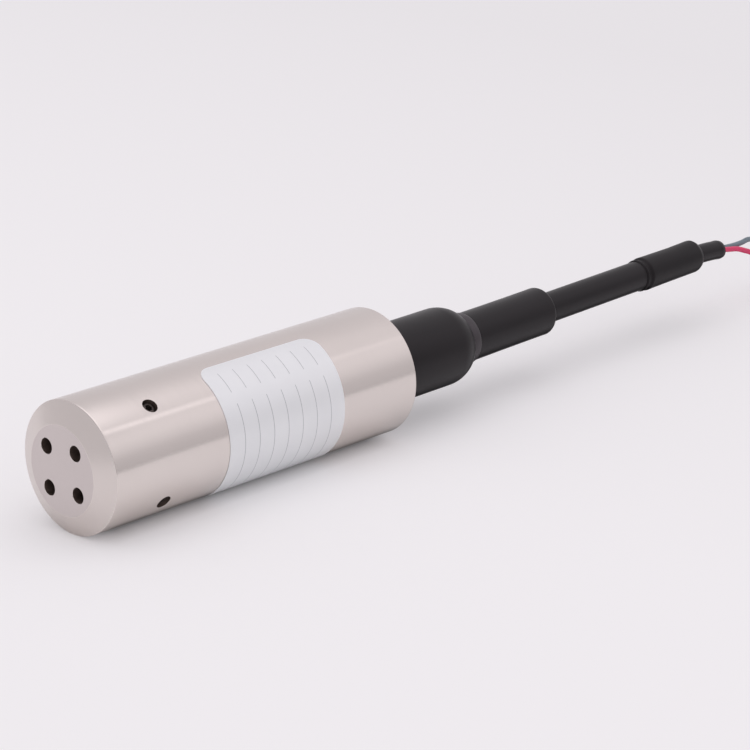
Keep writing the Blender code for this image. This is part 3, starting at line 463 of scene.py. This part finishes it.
def lathe_steel(name, colour, roughness, streak, mark_size, mark_depth):
    """Fine-turned steel: marks run round the axis, so that gloss spreads along it."""
    material, tree, shader, place = finish(name, colour, roughness, 1.0)
    shader.inputs["Anisotropic"].default_value = streak
    shader.inputs["Anisotropic Rotation"].default_value = 0.25
    tangent = tree.nodes.new("ShaderNodeTangent")
    tangent.direction_type = "RADIAL"
    tangent.axis = "X"
    tree.links.new(tangent.outputs["Tangent"], shader.inputs["Tangent"])
    mapping = add_node(tree, "ShaderNodeMapping", Location=(0, 0, -axis_z))
    tree.links.new(place, mapping.inputs["Vector"])
    split = tree.nodes.new("ShaderNodeSeparateXYZ")
    tree.links.new(mapping.outputs["Vector"], split.inputs["Vector"])
    across = tree.nodes.new("ShaderNodeCombineXYZ")
    tree.links.new(split.outputs["Y"], across.inputs["Y"])
    tree.links.new(split.outputs["Z"], across.inputs["Z"])
    radius = tree.nodes.new("ShaderNodeVectorMath")
    radius.operation = "LENGTH"
    tree.links.new(across.outputs["Vector"], radius.inputs[0])
    travel = math_node(tree, "ADD", split.outputs["X"], radius.outputs["Value"])
    marks = add_node(tree, "ShaderNodeTexNoise", Scale=1.0 / mark_size, Detail=2.0)
    marks.noise_dimensions = "1D"
    tree.links.new(travel, marks.inputs["W"])
    marks = marks.outputs["Fac"]
    emboss(tree, shader, marks, mark_depth)
    vary(tree, marks, roughness - 0.015, roughness + 0.02, shader.inputs["Roughness"])
    darker = [shade * 0.975 for shade in colour]
    vary(tree, noise(tree, place, 0.02), darker, colour, shader.inputs["Base Color"])
    return material


housing_steel = lathe_steel("housing_steel", (0.75, 0.69, 0.658), 0.21, 0.8, 0.0012, 0.0000010)
nose_x = housing_low.x
rear_x = housing_high.x
body_radius = axis_z
rim_x = nose_x + 0.0022
disc_radius = 0.0094
bore_radius = 0.011
chamber_radius = 0.009
chamber_end_x = nose_x + 0.0113
nose_wall = 0.004
screw_x = nose_x + 0.0163
screw_zone = 0.0024
housing_rings = eased([
    (nose_x, disc_radius - 0.0006, 0),
    (nose_x, disc_radius, 0.00015),
    (rim_x, body_radius, 0.00015),
    (screw_x - screw_zone, body_radius, 0),
    (screw_x + screw_zone, body_radius, 0),
    (rear_x - 0.0005, body_radius, 0.00012),
    (rear_x, body_radius - 0.0005, 0.00012),
    (rear_x, bore_radius, 0.0002),
    (chamber_end_x, bore_radius, 0),
    (chamber_end_x, chamber_radius, 0.0001),
    (nose_x + nose_wall, chamber_radius, 0.0003),
])
housing = turned("probe_housing", housing_rings, 192, tube=False)


def drill(target, name, radius, spot, direction, depth, ease):
    """Cuts a round hole inwards from spot, with its edge broken by a small countersink."""
    bpy.ops.object.select_all(action="DESELECT")
    turn = Vector(direction).to_track_quat("Z", "Y").to_euler()
    bpy.ops.mesh.primitive_cylinder_add(
        vertices=48, radius=radius, depth=depth, location=spot, rotation=turn
    )
    tool = bpy.context.object
    tool.name = name
    bpy.ops.object.mode_set(mode="EDIT")
    bpy.ops.mesh.select_all(action="DESELECT")
    bpy.ops.object.mode_set(mode="OBJECT")
    for face in tool.data.polygons:
        face.select = face.normal.z > 0.9
    bpy.ops.object.mode_set(mode="EDIT")
    bpy.ops.mesh.select_mode(type="FACE")
    inward = -Vector(direction) * (depth / 2 + ease)
    bpy.ops.transform.translate(value=inward)
    outward_step = Vector(direction) * 2 * ease
    bpy.ops.mesh.extrude_region_move(TRANSFORM_OT_translate={"value": outward_step})
    wide = (radius + 2 * ease) / radius
    top = Vector(spot) + Vector(direction) * ease
    bpy.ops.transform.resize(value=(wide, wide, wide), center_override=top)
    bpy.ops.mesh.extrude_region_move(TRANSFORM_OT_translate={"value": Vector(direction) * depth})
    bpy.ops.object.mode_set(mode="OBJECT")
    cut = target.modifiers.new(name, "BOOLEAN")
    cut.operation = "DIFFERENCE"
    cut.object = tool
    bpy.ops.object.select_all(action="DESELECT")
    target.select_set(True)
    bpy.context.view_layer.objects.active = target
    bpy.ops.object.modifier_apply(modifier=name)
    bpy.data.objects.remove(tool, do_unlink=True)


def round_axis(angle, radius, x):
    """A point round the axis, by its angle from the near side's horizontal, upwards."""
    return Vector((x, -radius * math.cos(angle), axis_z + radius * math.sin(angle)))


hole_radius = 0.00165
hole_depth = 0.009
port_circle_radius = 0.0061
first_port_degrees = 48.2
port_angles = [math.radians(first_port_degrees + 90 * number) for number in range(4)]
port_edge = 0.00008
for number, angle in enumerate(port_angles, 1):
    spot = round_axis(angle, port_circle_radius, nose_x)
    drill(housing, f"port_{number}", hole_radius, spot, (-1, 0, 0), hole_depth, port_edge)
first_screw_degrees = 54.8
screw_angles = [math.radians(first_screw_degrees + 90 * number) for number in range(4)]
screw_edge = 0.00006
for number, angle in enumerate(screw_angles, 1):
    spot = round_axis(angle, body_radius, screw_x)
    direction = (0, -math.cos(angle), math.sin(angle))
    drill(housing, f"screw_hole_{number}", hole_radius, spot, direction, hole_depth, screw_edge)
bpy.ops.object.shade_smooth_by_angle(angle=math.radians(30))
dress(housing, housing_steel, "stainless", "housing")
# The nose's cone and disc are a rougher turned steel. The disc's colour is also darker, a painted
# shade of its face.
cone_steel = lathe_steel("cone_steel", (0.73, 0.672, 0.642), 0.32, 0.4, 0.0012, 0.0000005)
disc_steel_painted_shade = lathe_steel("disc_steel_painted_shade", (0.635, 0.578, 0.565), 0.32, 0.2, 0.0012, 0.0000003)
# Painted shade: the chamber, the ports and the screw holes get a dark brown in place of their steel,
# for the shade inside them, in blotches that differ a little.
hole_painted_shade, tree, shader, place = finish("hole_painted_shade", (0.02, 0.014, 0.011), 0.55)
vary(tree, noise(tree, place, 0.001), 0.45, 0.65, shader.inputs["Roughness"])
painted_shade_patches = noise(tree, place, 0.002)
vary(tree, painted_shade_patches, (0.042, 0.028, 0.022), (0.09, 0.064, 0.053), shader.inputs["Base Color"])
for nose_finish_and_shade in (hole_painted_shade, disc_steel_painted_shade, cone_steel):
    housing.data.materials.append(nose_finish_and_shade)
in_holes, on_disc, on_cone = 1, 2, 3
margin = 0.0001
chamber_end = chamber_end_x - nose_x
cone_end = rim_x - nose_x - 0.0003
for face in housing.data.polygons:
    from_nose = face.center.x - nose_x
    reach = math.hypot(face.center.y, face.center.z - axis_z)
    in_nose = margin < from_nose < chamber_end + margin
    in_chamber = in_nose and reach < disc_radius - 0.0003
    near_screws = abs(face.center.x - screw_x) < screw_zone
    in_screw_hole = near_screws and bore_radius + margin < reach < body_radius - margin
    if in_chamber or in_screw_hole:
        face.material_index = in_holes
    elif from_nose < 0.1 * margin:
        face.material_index = on_disc
    elif from_nose < cone_end and reach > disc_radius:
        face.material_index = on_cone


# Grub screws. Four blackened hexagon-socket screws, one in each tapped side hole, sunk a little
# below the surface. Their points seat in the groove of the sensor holder.
screw_black, tree, shader, place = finish("screw_black", (0.02, 0.016, 0.014), 0.42, 0.6)
oily = noise(tree, place, 0.0007)
vary(tree, oily, 0.30, 0.50, shader.inputs["Roughness"])
vary(tree, oily, (0.030, 0.023, 0.020), (0.11, 0.088, 0.080), shader.inputs["Base Color"])
emboss(tree, shader, noise(tree, place, 0.00025), 0.000012)
screw_radius = 0.00135
screw_sunk = 0.0007
screw_seat_radius = 0.0101
socket_width = 0.0014
socket_radius = socket_width / 2 / math.cos(math.pi / 6)
socket_depth = 0.0012
for number, angle in enumerate(screw_angles, 1):
    direction = Vector((0, -math.cos(angle), math.sin(angle)))
    foot = round_axis(angle, screw_seat_radius, screw_x)
    height = body_radius - screw_sunk - screw_seat_radius
    turn = direction.to_track_quat("Z", "X").to_euler()
    bpy.ops.object.select_all(action="DESELECT")
    bpy.ops.mesh.primitive_cylinder_add(
        vertices=48,
        radius=screw_radius,
        depth=height,
        location=foot + direction * height / 2,
        rotation=turn,
    )
    screw = bpy.context.object
    screw.name = f"side_screw_{number}"
    bevel = screw.modifiers.new("edges", "BEVEL")
    bevel.width = 0.0003
    bevel.segments = 2
    bevel.limit_method = "ANGLE"
    bpy.ops.object.modifier_apply(modifier="edges")
    bpy.ops.mesh.primitive_cylinder_add(
        vertices=6,
        radius=socket_radius,
        depth=2 * socket_depth,
        location=foot + direction * height,
        rotation=turn,
    )
    tool = bpy.context.object
    cut = screw.modifiers.new("socket", "BOOLEAN")
    cut.operation = "DIFFERENCE"
    cut.object = tool
    bpy.context.view_layer.objects.active = screw
    bpy.ops.object.modifier_apply(modifier="socket")
    bpy.data.objects.remove(tool, do_unlink=True)
    screw.select_set(True)
    bpy.ops.object.transform_apply(location=True, rotation=True, scale=True)
    bpy.ops.object.shade_smooth_by_angle(angle=math.radians(35))
    dress(screw, screw_black, "screw_steel", f"grub_screw_{number}")


# Label. Thin white film with round corners, stuck round the near side behind the screws. It bears
# only blank ruled fields, one line for each row that a data plate has.
label_low, label_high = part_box("label")
label_width = label_high.x - label_low.x
label_top = math.radians(75)
label_bottom = math.radians(-74)
label_height = body_radius * (label_top - label_bottom)
label_corner = 0.0035
label_lift = 0.00002
label_thickness = 0.00009
bend_steps = 96
film_map_name = "film"
bpy.ops.object.select_all(action="DESELECT")
bpy.ops.mesh.primitive_plane_add(size=1)
label = bpy.context.object
label.name = "label_film"
label.scale = (label_width, label_height, 1)
bpy.ops.object.transform_apply(location=False, rotation=False, scale=True)
bpy.ops.object.mode_set(mode="EDIT")
bpy.ops.mesh.select_all(action="SELECT")
bpy.ops.mesh.bevel(offset=label_corner, segments=14, affect="VERTICES")
for step in range(1, bend_steps):
    bpy.ops.mesh.select_all(action="SELECT")
    arc = label_height * (step / bend_steps - 0.5)
    bpy.ops.mesh.bisect(plane_co=(0, arc, 0), plane_no=(0, 1, 0))
bpy.ops.object.mode_set(mode="OBJECT")
film_map = label.data.uv_layers[0]
film_map.name = film_map_name
for loop in label.data.loops:
    flat = label.data.vertices[loop.vertex_index].co
    film_map.data[loop.index].uv = (flat.x / label_width + 0.5, flat.y / label_height + 0.5)
middle_x = (label_low.x + label_high.x) / 2
for vertex in label.data.vertices:
    flat = vertex.co.copy()
    angle = (label_top + label_bottom) / 2 + flat.y / body_radius
    vertex.co = round_axis(angle, body_radius + label_lift, middle_x + flat.x)
thicken = label.modifiers.new("film", "SOLIDIFY")
thicken.thickness = label_thickness
thicken.offset = 1
bpy.ops.object.modifier_apply(modifier="film")
bpy.ops.object.shade_smooth_by_angle(angle=math.radians(40))

film_white, tree, shader, place = finish("film_white", (0.80, 0.812, 0.825), 0.36, 0.4)
film_place = tree.nodes.new("ShaderNodeUVMap")
film_place.uv_map = film_map_name
split = tree.nodes.new("ShaderNodeSeparateXYZ")
tree.links.new(film_place.outputs["UV"], split.inputs["Vector"])
rows = 8
line_width = 0.035
rows_half = 0.40
fields = ((0.42, 0.30), (0.86, 0.07))
line_shade = 0.8
along_film, up_film = (split.outputs[axis] for axis in "XY")
row_place = math_node(tree, "FRACT", math_node(tree, "MULTIPLY", along_film, rows))
on_line = math_node(tree, "LESS_THAN", row_place, line_width)
field_reach = []
for field_middle, field_half in fields:
    aside = math_node(tree, "ABSOLUTE", math_node(tree, "SUBTRACT", up_film, field_middle))
    field_reach.append(math_node(tree, "LESS_THAN", aside, field_half))
in_field = math_node(tree, "ADD", *field_reach)
aside = math_node(tree, "ABSOLUTE", math_node(tree, "SUBTRACT", along_film, 0.5))
in_rows = math_node(tree, "LESS_THAN", aside, rows_half)
ruled = math_node(tree, "MULTIPLY", math_node(tree, "MULTIPLY", on_line, in_field), in_rows)
shade = math_node(tree, "MULTIPLY", ruled, line_shade)
shade = math_node(tree, "SUBTRACT", noise(tree, place, 0.006), shade)
film_shades = [
    (0.0, (0.42, 0.43, 0.45)), (0.25, (0.785, 0.797, 0.812)), (1.0, (0.815, 0.826, 0.838))
]
tree.links.new(blend(tree, shade, film_shades), shader.inputs["Base Color"])
vary(tree, noise(tree, place, 0.004), 0.33, 0.40, shader.inputs["Roughness"])
emboss(tree, shader, noise(tree, place, 0.003), 0.000006)
dress(label, film_white, "label_film", "label")


# Boot. Black heat-shrink boot over the gland nut. It was shrunk from the nut's size down on the
# cable's sleeve, which left a round shoulder and a thin rolled lip.
boot_low, boot_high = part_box("boot")
boot_bore = 0.00823
boot_radius = 0.00883
shoulder_x = rear_x + 0.0212
shoulder_length = 0.0058
shoulder_power = 0.7
lip_x = shoulder_x + shoulder_length
lip_radius = 0.00592
lip_end_x = boot_high.x - 0.0004
sleeve_radius = 0.00555
boot_mouth_radius = sleeve_radius + 0.0001
boot_wall = boot_radius - boot_bore
shoulder_steps = 28
boot_corners = [(boot_low.x, boot_bore, 0), (boot_low.x, boot_radius, 0.0002)]
boot_outside = []
boot_inside = []
for step in range(shoulder_steps + 1):
    along = math.sin(math.pi / 2 * step / shoulder_steps)
    share = (1 - along**2) ** shoulder_power
    x = shoulder_x + along * shoulder_length
    boot_outside.append((x, lip_radius + (boot_radius - lip_radius) * share, 0))
    inner_radius = boot_mouth_radius + (boot_bore - boot_mouth_radius) * share
    boot_inside.append((x - boot_wall, inner_radius, 0))
boot_corners += boot_outside[:-1]
boot_corners += [
    (lip_x, lip_radius - 0.00003, 0.0002),
    (lip_x + 0.0012, lip_radius + 0.00006, 0.0007),
    (lip_end_x - 0.0002, lip_radius + 0.00001, 0.0004),
    (lip_end_x, boot_mouth_radius + 0.0001, 0.0001),
    (lip_end_x, boot_mouth_radius, 0),
]
boot_corners += reversed(boot_inside)
boot = turned("shrink_boot", eased(boot_corners), 160)
dress(boot, shrink_black, "heat_shrink", "boot")
# The lip is the boot's own black heat-shrink, given a paler colour that paints the light band and
# sheen of its rolled edge.
lip_painted_sheen = black_plastic(
    "lip_painted_sheen", (0.032, 0.028, 0.031), 0.32, 0.42, 0.006, 0.00003, 0.00035, 0.000005
)
boot.data.materials.append(lip_painted_sheen)
lip_start_x = lip_x - 0.0002
for face in boot.data.polygons:
    if face.center.x > lip_start_x:
        face.material_index = 1


# Cable sleeve. A thick heat-shrink sleeve that stiffens the cable from the gland nut outwards. Its
# cut end is a short slanted shoulder on the jacket.
sleeve_low, sleeve_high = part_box("cable_sleeve")
sleeve_bore = cable_radius + 0.0001
sleeve_steps = 24
sleeve_stations = [
    sleeve_low.x + 0.002 + (sleeve_high.x - 0.0045 - sleeve_low.x) * step / sleeve_steps
    for step in range(sleeve_steps + 1)
]
sleeve_corners = [(sleeve_low.x, sleeve_bore, 0), (sleeve_low.x, sleeve_radius, 0.0002)]
waist_half = 0.0145
waist_depth = 0.00005
for x in sleeve_stations:
    from_waist = (x - boot_high.x - waist_half) / waist_half
    sleeve_corners.append((x, sleeve_radius + waist_depth * min(1.0, from_waist**2), 0))
sleeve_corners += [
    (sleeve_high.x - 0.0012, sleeve_radius + waist_depth, 0.0004),
    (sleeve_high.x - 0.0001, 0.0046, 0.0003),
    (sleeve_high.x, cable_radius + 0.00015, 0.00004),
    (sleeve_high.x, sleeve_bore, 0),
]
sleeve_corners += [(x, sleeve_bore, 0) for x in reversed(sleeve_stations)]
sleeve = turned("shrink_sleeve", eased(sleeve_corners), 128)
dress(sleeve, shrink_black, "heat_shrink", "cable_sleeve")


# Rear plug. A turned stainless plug that closes the bore, flush with the housing's rear face, with
# a groove for its seal and the neck that the gland nut screws on.
plug_low, plug_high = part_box("rear_plug")
plug_radius = 0.0107
neck_radius = 0.00673
plug_bore = cable_radius + 0.0003
pocket_radius = 0.00553
seal_low, seal_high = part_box("plug_seal")
groove_bottom = 0.0093
groove_side = 0.0002
pocket_x = rear_x + 0.0023
plug_rings = eased([
    (plug_low.x, plug_bore, 0),
    (plug_low.x, plug_radius, 0.0003),
    (seal_low.x - groove_side, plug_radius, 0.0001),
    (seal_low.x - groove_side, groove_bottom, 0.0001),
    (seal_high.x + groove_side, groove_bottom, 0.0001),
    (seal_high.x + groove_side, plug_radius, 0.0001),
    (rear_x, plug_radius, 0.0002),
    (rear_x, neck_radius, 0.0002),
    (plug_high.x, neck_radius, 0.0003),
    (plug_high.x, pocket_radius, 0.0001),
    (pocket_x, pocket_radius, 0.0001),
    (pocket_x, plug_bore, 0),
])
rear_plug = turned("bore_plug", plug_rings, 160)
works_steel = lathe_steel("works_steel", (0.68, 0.64, 0.62), 0.28, 0.6, 0.0012, 0.0000015)
dress(rear_plug, works_steel, "stainless", "rear_plug")


# Sensor carrier. A turned stainless holder with a groove for the grub screws, the oil-filled cell
# in its front, and the cell's wavy foil diaphragm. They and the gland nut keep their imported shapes.
def coat(material, *names):
    """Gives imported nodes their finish."""
    for name in names:
        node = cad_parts[name]
        node.data.materials.clear()
        node.data.materials.append(material)


foil_steel = lathe_steel("foil_steel", (0.78, 0.76, 0.73), 0.20, 0.4, 0.0008, 0.0000008)
coat(works_steel, "sensor_holder", "sensor_cell", "gland_nut")
coat(foil_steel, "diaphragm")


# Seals. Round nitrile rubber seals of the holder, the cell and the plug, and the gland's grommet:
# moulded, and dull from their powder.
seal_rubber = black_plastic(
    "seal_rubber", (0.014, 0.014, 0.014), 0.62, 0.40, 0.003, 0.00002, 0.0002, 0.000006
)
coat(seal_rubber, "holder_seal_1", "holder_seal_2", "cell_seal", "plug_seal", "gland_grommet")


# Small plated parts. The cell's header with its pins, the gland's washer, the clamp screws of the
# terminals and the capacitor's can, nickel-plated or tinned, with a drawn grain.
nickel, tree, shader, place = finish("nickel_plate", (0.72, 0.69, 0.63), 0.28, 1.0)
vary(tree, noise(tree, place, 0.0006), 0.22, 0.36, shader.inputs["Roughness"])
tarnish = noise(tree, place, 0.0015)
vary(tree, tarnish, (0.64, 0.61, 0.55), (0.74, 0.71, 0.66), shader.inputs["Base Color"])
emboss(tree, shader, noise(tree, place, 0.0003, stretch=(1.0, 1.0, 6.0)), 0.000004)
coat(
    nickel, "pin_header", "gland_washer", "terminal_screw_1", "terminal_screw_2",
    "filter_capacitor",
)


# Flexible strip from the header to the board. Amber polyimide film with printed copper tracks that
# run along it.
amber_film, tree, shader, place = finish("amber_film", (0.45, 0.20, 0.04), 0.32)
tracks = add_node(tree, "ShaderNodeTexWave", Scale=160.0, Distortion=0.0)
tracks.bands_direction = "Y"
tree.links.new(place, tracks.inputs["Vector"])
tracks = tracks.outputs["Fac"]
vary(tree, tracks, (0.38, 0.15, 0.025), (0.62, 0.30, 0.12), shader.inputs["Base Color"])
vary(tree, noise(tree, place, 0.001), 0.26, 0.40, shader.inputs["Roughness"])
emboss(tree, shader, tracks, 0.00002)
coat(amber_film, "sensor_ribbon")


# Circuit board. Glass-fibre board under green solder resist, with copper tracks showing through it
# in straight runs.
resist_green, tree, shader, place = finish("resist_green", (0.02, 0.16, 0.06), 0.35)
runs = add_node(
    tree, "ShaderNodeTexBrick",
    Scale=1.0, Mortar_Size=0.00018, Brick_Width=0.0052, Row_Height=0.0013,
    Color1=(0.016, 0.13, 0.05, 1.0), Color2=(0.022, 0.17, 0.065, 1.0),
    Mortar=(0.06, 0.30, 0.12, 1.0),
)
tree.links.new(place, runs.inputs["Vector"])
tree.links.new(runs.outputs["Color"], shader.inputs["Base Color"])
vary(tree, noise(tree, place, 0.002), 0.28, 0.42, shader.inputs["Roughness"])
emboss(tree, shader, runs.outputs["Fac"], 0.00002)
coat(resist_green, "circuit_board")


# Parts on the board. Two chips and a regulator in black moulded epoxy, a blue trimmer, and the
# green block that clamps the inner leads.
def moulded(name, colour, roughness, grain):
    """Moulded plastic: a matt grain, with shades that differ a little over its face."""
    material, tree, shader, place = finish(name, colour, roughness)
    patches = noise(tree, place, 0.0015)
    vary(tree, patches, roughness - 0.06, roughness + 0.06, shader.inputs["Roughness"])
    paler = [min(1.0, shade * 1.15) for shade in colour]
    vary(tree, patches, colour, paler, shader.inputs["Base Color"])
    emboss(tree, shader, noise(tree, place, grain), 0.000008)
    return material


chip_epoxy = moulded("chip_epoxy", (0.018, 0.018, 0.019), 0.55, 0.00015)
coat(chip_epoxy, "signal_chip", "amplifier_chip", "regulator")
coat(moulded("trimmer_blue", (0.03, 0.12, 0.42), 0.35, 0.0003), "zero_trimmer")
coat(moulded("terminal_green", (0.05, 0.33, 0.11), 0.42, 0.0003), "terminal_block")


# Centring ring, air tube and inner leads. A white polyamide ring holds the board in the bore, and a
# clear tube and two insulated leads go back to the cable.
coat(moulded("ring_white", (0.74, 0.73, 0.69), 0.45, 0.0004), "centring_ring")
coat(moulded("tube_clear", (0.66, 0.68, 0.66), 0.22, 0.0006), "vent_tube")
coat(bpy.data.materials["red_insulation"], "inner_lead_red")
coat(bpy.data.materials["grey_insulation"], "inner_lead_grey")


# Cable collar. A short brass tube, crimped on the jacket inside the housing, so that the cable
# can't be pulled out of the gland.
collar_brass = lathe_steel("collar_brass", (0.66, 0.46, 0.19), 0.30, 0.5, 0.0008, 0.0000020)
coat(collar_brass, "cable_collar")


# Stage. A pale paper floor, whose glow keeps the shadows on it light, in a pale studio with walls
# that are darker low on the near side, a bright ceiling, and a small lamp that draws the streak.
light_tint = (1.0, 0.963, 0.998)
paper_white = 0.90
bpy.ops.object.select_all(action="DESELECT")
bpy.ops.mesh.primitive_plane_add(size=8)
floor = bpy.context.object
floor.name = "floor"


def pale(light):
    """The studio's light of that strength, as a colour."""
    return [light * tint for tint in light_tint]


floor_paint, tree, shader, place = finish("floor_paint", [paper_white] * 3, 0.9)
shader.inputs["Specular IOR Level"].default_value = 0.1
floor.data.materials.append(floor_paint)
seen_by = tree.nodes.new("ShaderNodeLightPath").outputs
ground = tree.nodes.new("ShaderNodeSeparateXYZ")
tree.links.new(place, ground.inputs["Vector"])
ground_x, ground_y = (ground.outputs[axis] for axis in "XY")
from_axis = math_node(tree, "ABSOLUTE", ground_y)
behind_nose = map_range(tree, ground_x, rim_x + 0.001, rim_x + 0.007, 0.0, 1.0)
before_rear = map_range(tree, ground_x, rear_x - 0.006, rear_x - 0.001, 1.0, 0.0)

# The paper's white. It is a little darker to the far right, a painted shade, and in reflections a
# painted shadow darkens a strip along the housing's foot, so that the steel is dark where it meets
# the floor.
fade_length = 0.36
fade_end = 0.92
strip_start = 0.003
mirrored_strip_end = 0.0078
mirrored_strip_white = 0.06
far_right_painted_shade = map_range(tree, ground_x, 0.0, fade_length, 1.0, fade_end)
mirrored_painted_shadow = map_range(
    tree, from_axis, strip_start, mirrored_strip_end, mirrored_strip_white, 1.0
)
shaded = math_node(tree, "SUBTRACT", mirrored_painted_shadow, 1.0)
shaded = math_node(tree, "MULTIPLY", shaded, seen_by["Is Glossy Ray"])
shaded = math_node(tree, "MULTIPLY", shaded, behind_nose)
tone = math_node(tree, "MULTIPLY", math_node(tree, "ADD", shaded, 1.0), far_right_painted_shade)
paper_tone = add_node(tree, "ShaderNodeVectorMath", Vector=[paper_white] * 3)
paper_tone.operation = "SCALE"
tree.links.new(tone, paper_tone.inputs["Scale"])
tree.links.new(paper_tone.outputs["Vector"], shader.inputs["Base Color"])

# The paper's glow, to the camera and a little in reflections. It is weaker in a strip along the
# housing's foot, a painted shadow where the shadow on the paper is deepest, and weaker to the far
# right, a painted shade.
floor_shade = 0.85
camera_glow = 0.30
mirror_glow = 0.05
glow_strip_end = 0.0105
glow_strip_light = 0.25
painted_foot_shadow = map_range(tree, from_axis, strip_start, glow_strip_end, glow_strip_light, 1.0)
beside = math_node(tree, "MULTIPLY", behind_nose, before_rear)
deeper = math_node(tree, "MULTIPLY", math_node(tree, "SUBTRACT", painted_foot_shadow, 1.0), beside)
strength = math_node(tree, "MULTIPLY", math_node(tree, "ADD", deeper, 1.0), far_right_painted_shade)
glow = add_node(tree, "ShaderNodeEmission", Color=(*pale(floor_shade), 1.0))
tree.links.new(strength, glow.inputs["Strength"])
glow_share = math_node(tree, "MULTIPLY", seen_by["Is Camera Ray"], camera_glow)
for bounce in ("Is Glossy Ray", "Is Transmission Ray"):
    mirror_share = math_node(tree, "MULTIPLY", seen_by[bounce], mirror_glow)
    glow_share = math_node(tree, "ADD", glow_share, mirror_share)
paper = tree.nodes.new("ShaderNodeMixShader")
tree.links.new(glow_share, paper.inputs["Fac"])
tree.links.new(shader.outputs["BSDF"], paper.inputs[1])
tree.links.new(glow.outputs["Emission"], paper.inputs[2])

# The paper's near end. In reflections it stops in front of the probe, and the room's plain shade
# goes on from there.
paper_edge_y = -0.165
room_shade = 0.60
room = add_node(tree, "ShaderNodeEmission", Color=(*pale(room_shade), 1.0))
past_paper = math_node(tree, "LESS_THAN", ground_y, paper_edge_y)
past_paper = math_node(tree, "MULTIPLY", past_paper, seen_by["Is Glossy Ray"])
paper_or_room = tree.nodes.new("ShaderNodeMixShader")
tree.links.new(past_paper, paper_or_room.inputs["Fac"])
tree.links.new(paper.outputs["Shader"], paper_or_room.inputs[1])
tree.links.new(room.outputs["Emission"], paper_or_room.inputs[2])
surface = tree.nodes["Material Output"].inputs["Surface"]
tree.links.new(paper_or_room.outputs["Shader"], surface)

world = bpy.data.worlds.new("pale_studio")
bpy.context.scene.world = world
world.use_nodes = True
tree = world.node_tree
sky = tree.nodes["Background"]
direction = tree.nodes.new("ShaderNodeTexCoord").outputs["Generated"]
split = tree.nodes.new("ShaderNodeSeparateXYZ")
tree.links.new(direction, split.inputs["Vector"])
brightest = 1.5
near_side = -0.30
far_side = 0.25


def walls(stops):
    """A studio's light by height, from (height as a sine, light) pairs up to the brightest."""
    shades = [(height, pale(light / brightest)) for height, light in stops]
    return blend(tree, split.outputs["Z"], shades)


near_walls = walls([
    (0.0, 0.60), (0.20, 0.65), (0.37, 0.80), (0.53, 0.90), (0.62, 0.90), (0.70, 0.82),
    (0.79, 0.81), (0.9, 1.45),
])
far_walls = walls([
    (0.0, 0.72), (0.27, 0.71), (0.45, 0.70), (0.59, 0.71), (0.68, 0.73), (0.79, 0.78),
    (0.9, 1.45),
])
both_walls = tree.nodes.new("ShaderNodeMix")
both_walls.data_type = "RGBA"
factor, near_colour, far_colour = (both_walls.inputs[number] for number in (0, 6, 7))
far_share = map_range(tree, split.outputs["Y"], near_side, far_side, 0.0, 1.0)
tree.links.new(far_share, factor)
tree.links.new(near_walls, near_colour)
tree.links.new(far_walls, far_colour)
tree.links.new(both_walls.outputs[2], sky.inputs["Color"])
lamp_direction = Vector((0.58, -0.38, 0.72)).normalized()
lamp_edge = 0.9973
lamp_core = 0.9992
lamp_light = 2.9
lean_share = 0.07
towards_lamp = tree.nodes.new("ShaderNodeVectorMath")
towards_lamp.operation = "DOT_PRODUCT"
towards_lamp.inputs[1].default_value = lamp_direction
tree.links.new(direction, towards_lamp.inputs[0])
towards_lamp = towards_lamp.outputs["Value"]
lamp = map_range(tree, towards_lamp, lamp_edge, lamp_core, brightest, lamp_light)
lean = math_node(tree, "MULTIPLY", split.outputs["X"], lean_share)
lean = math_node(tree, "ADD", lean, 1.0)
tree.links.new(math_node(tree, "MULTIPLY", lamp, lean), sky.inputs["Strength"])

bpy.context.scene.view_settings.view_transform = "Standard"
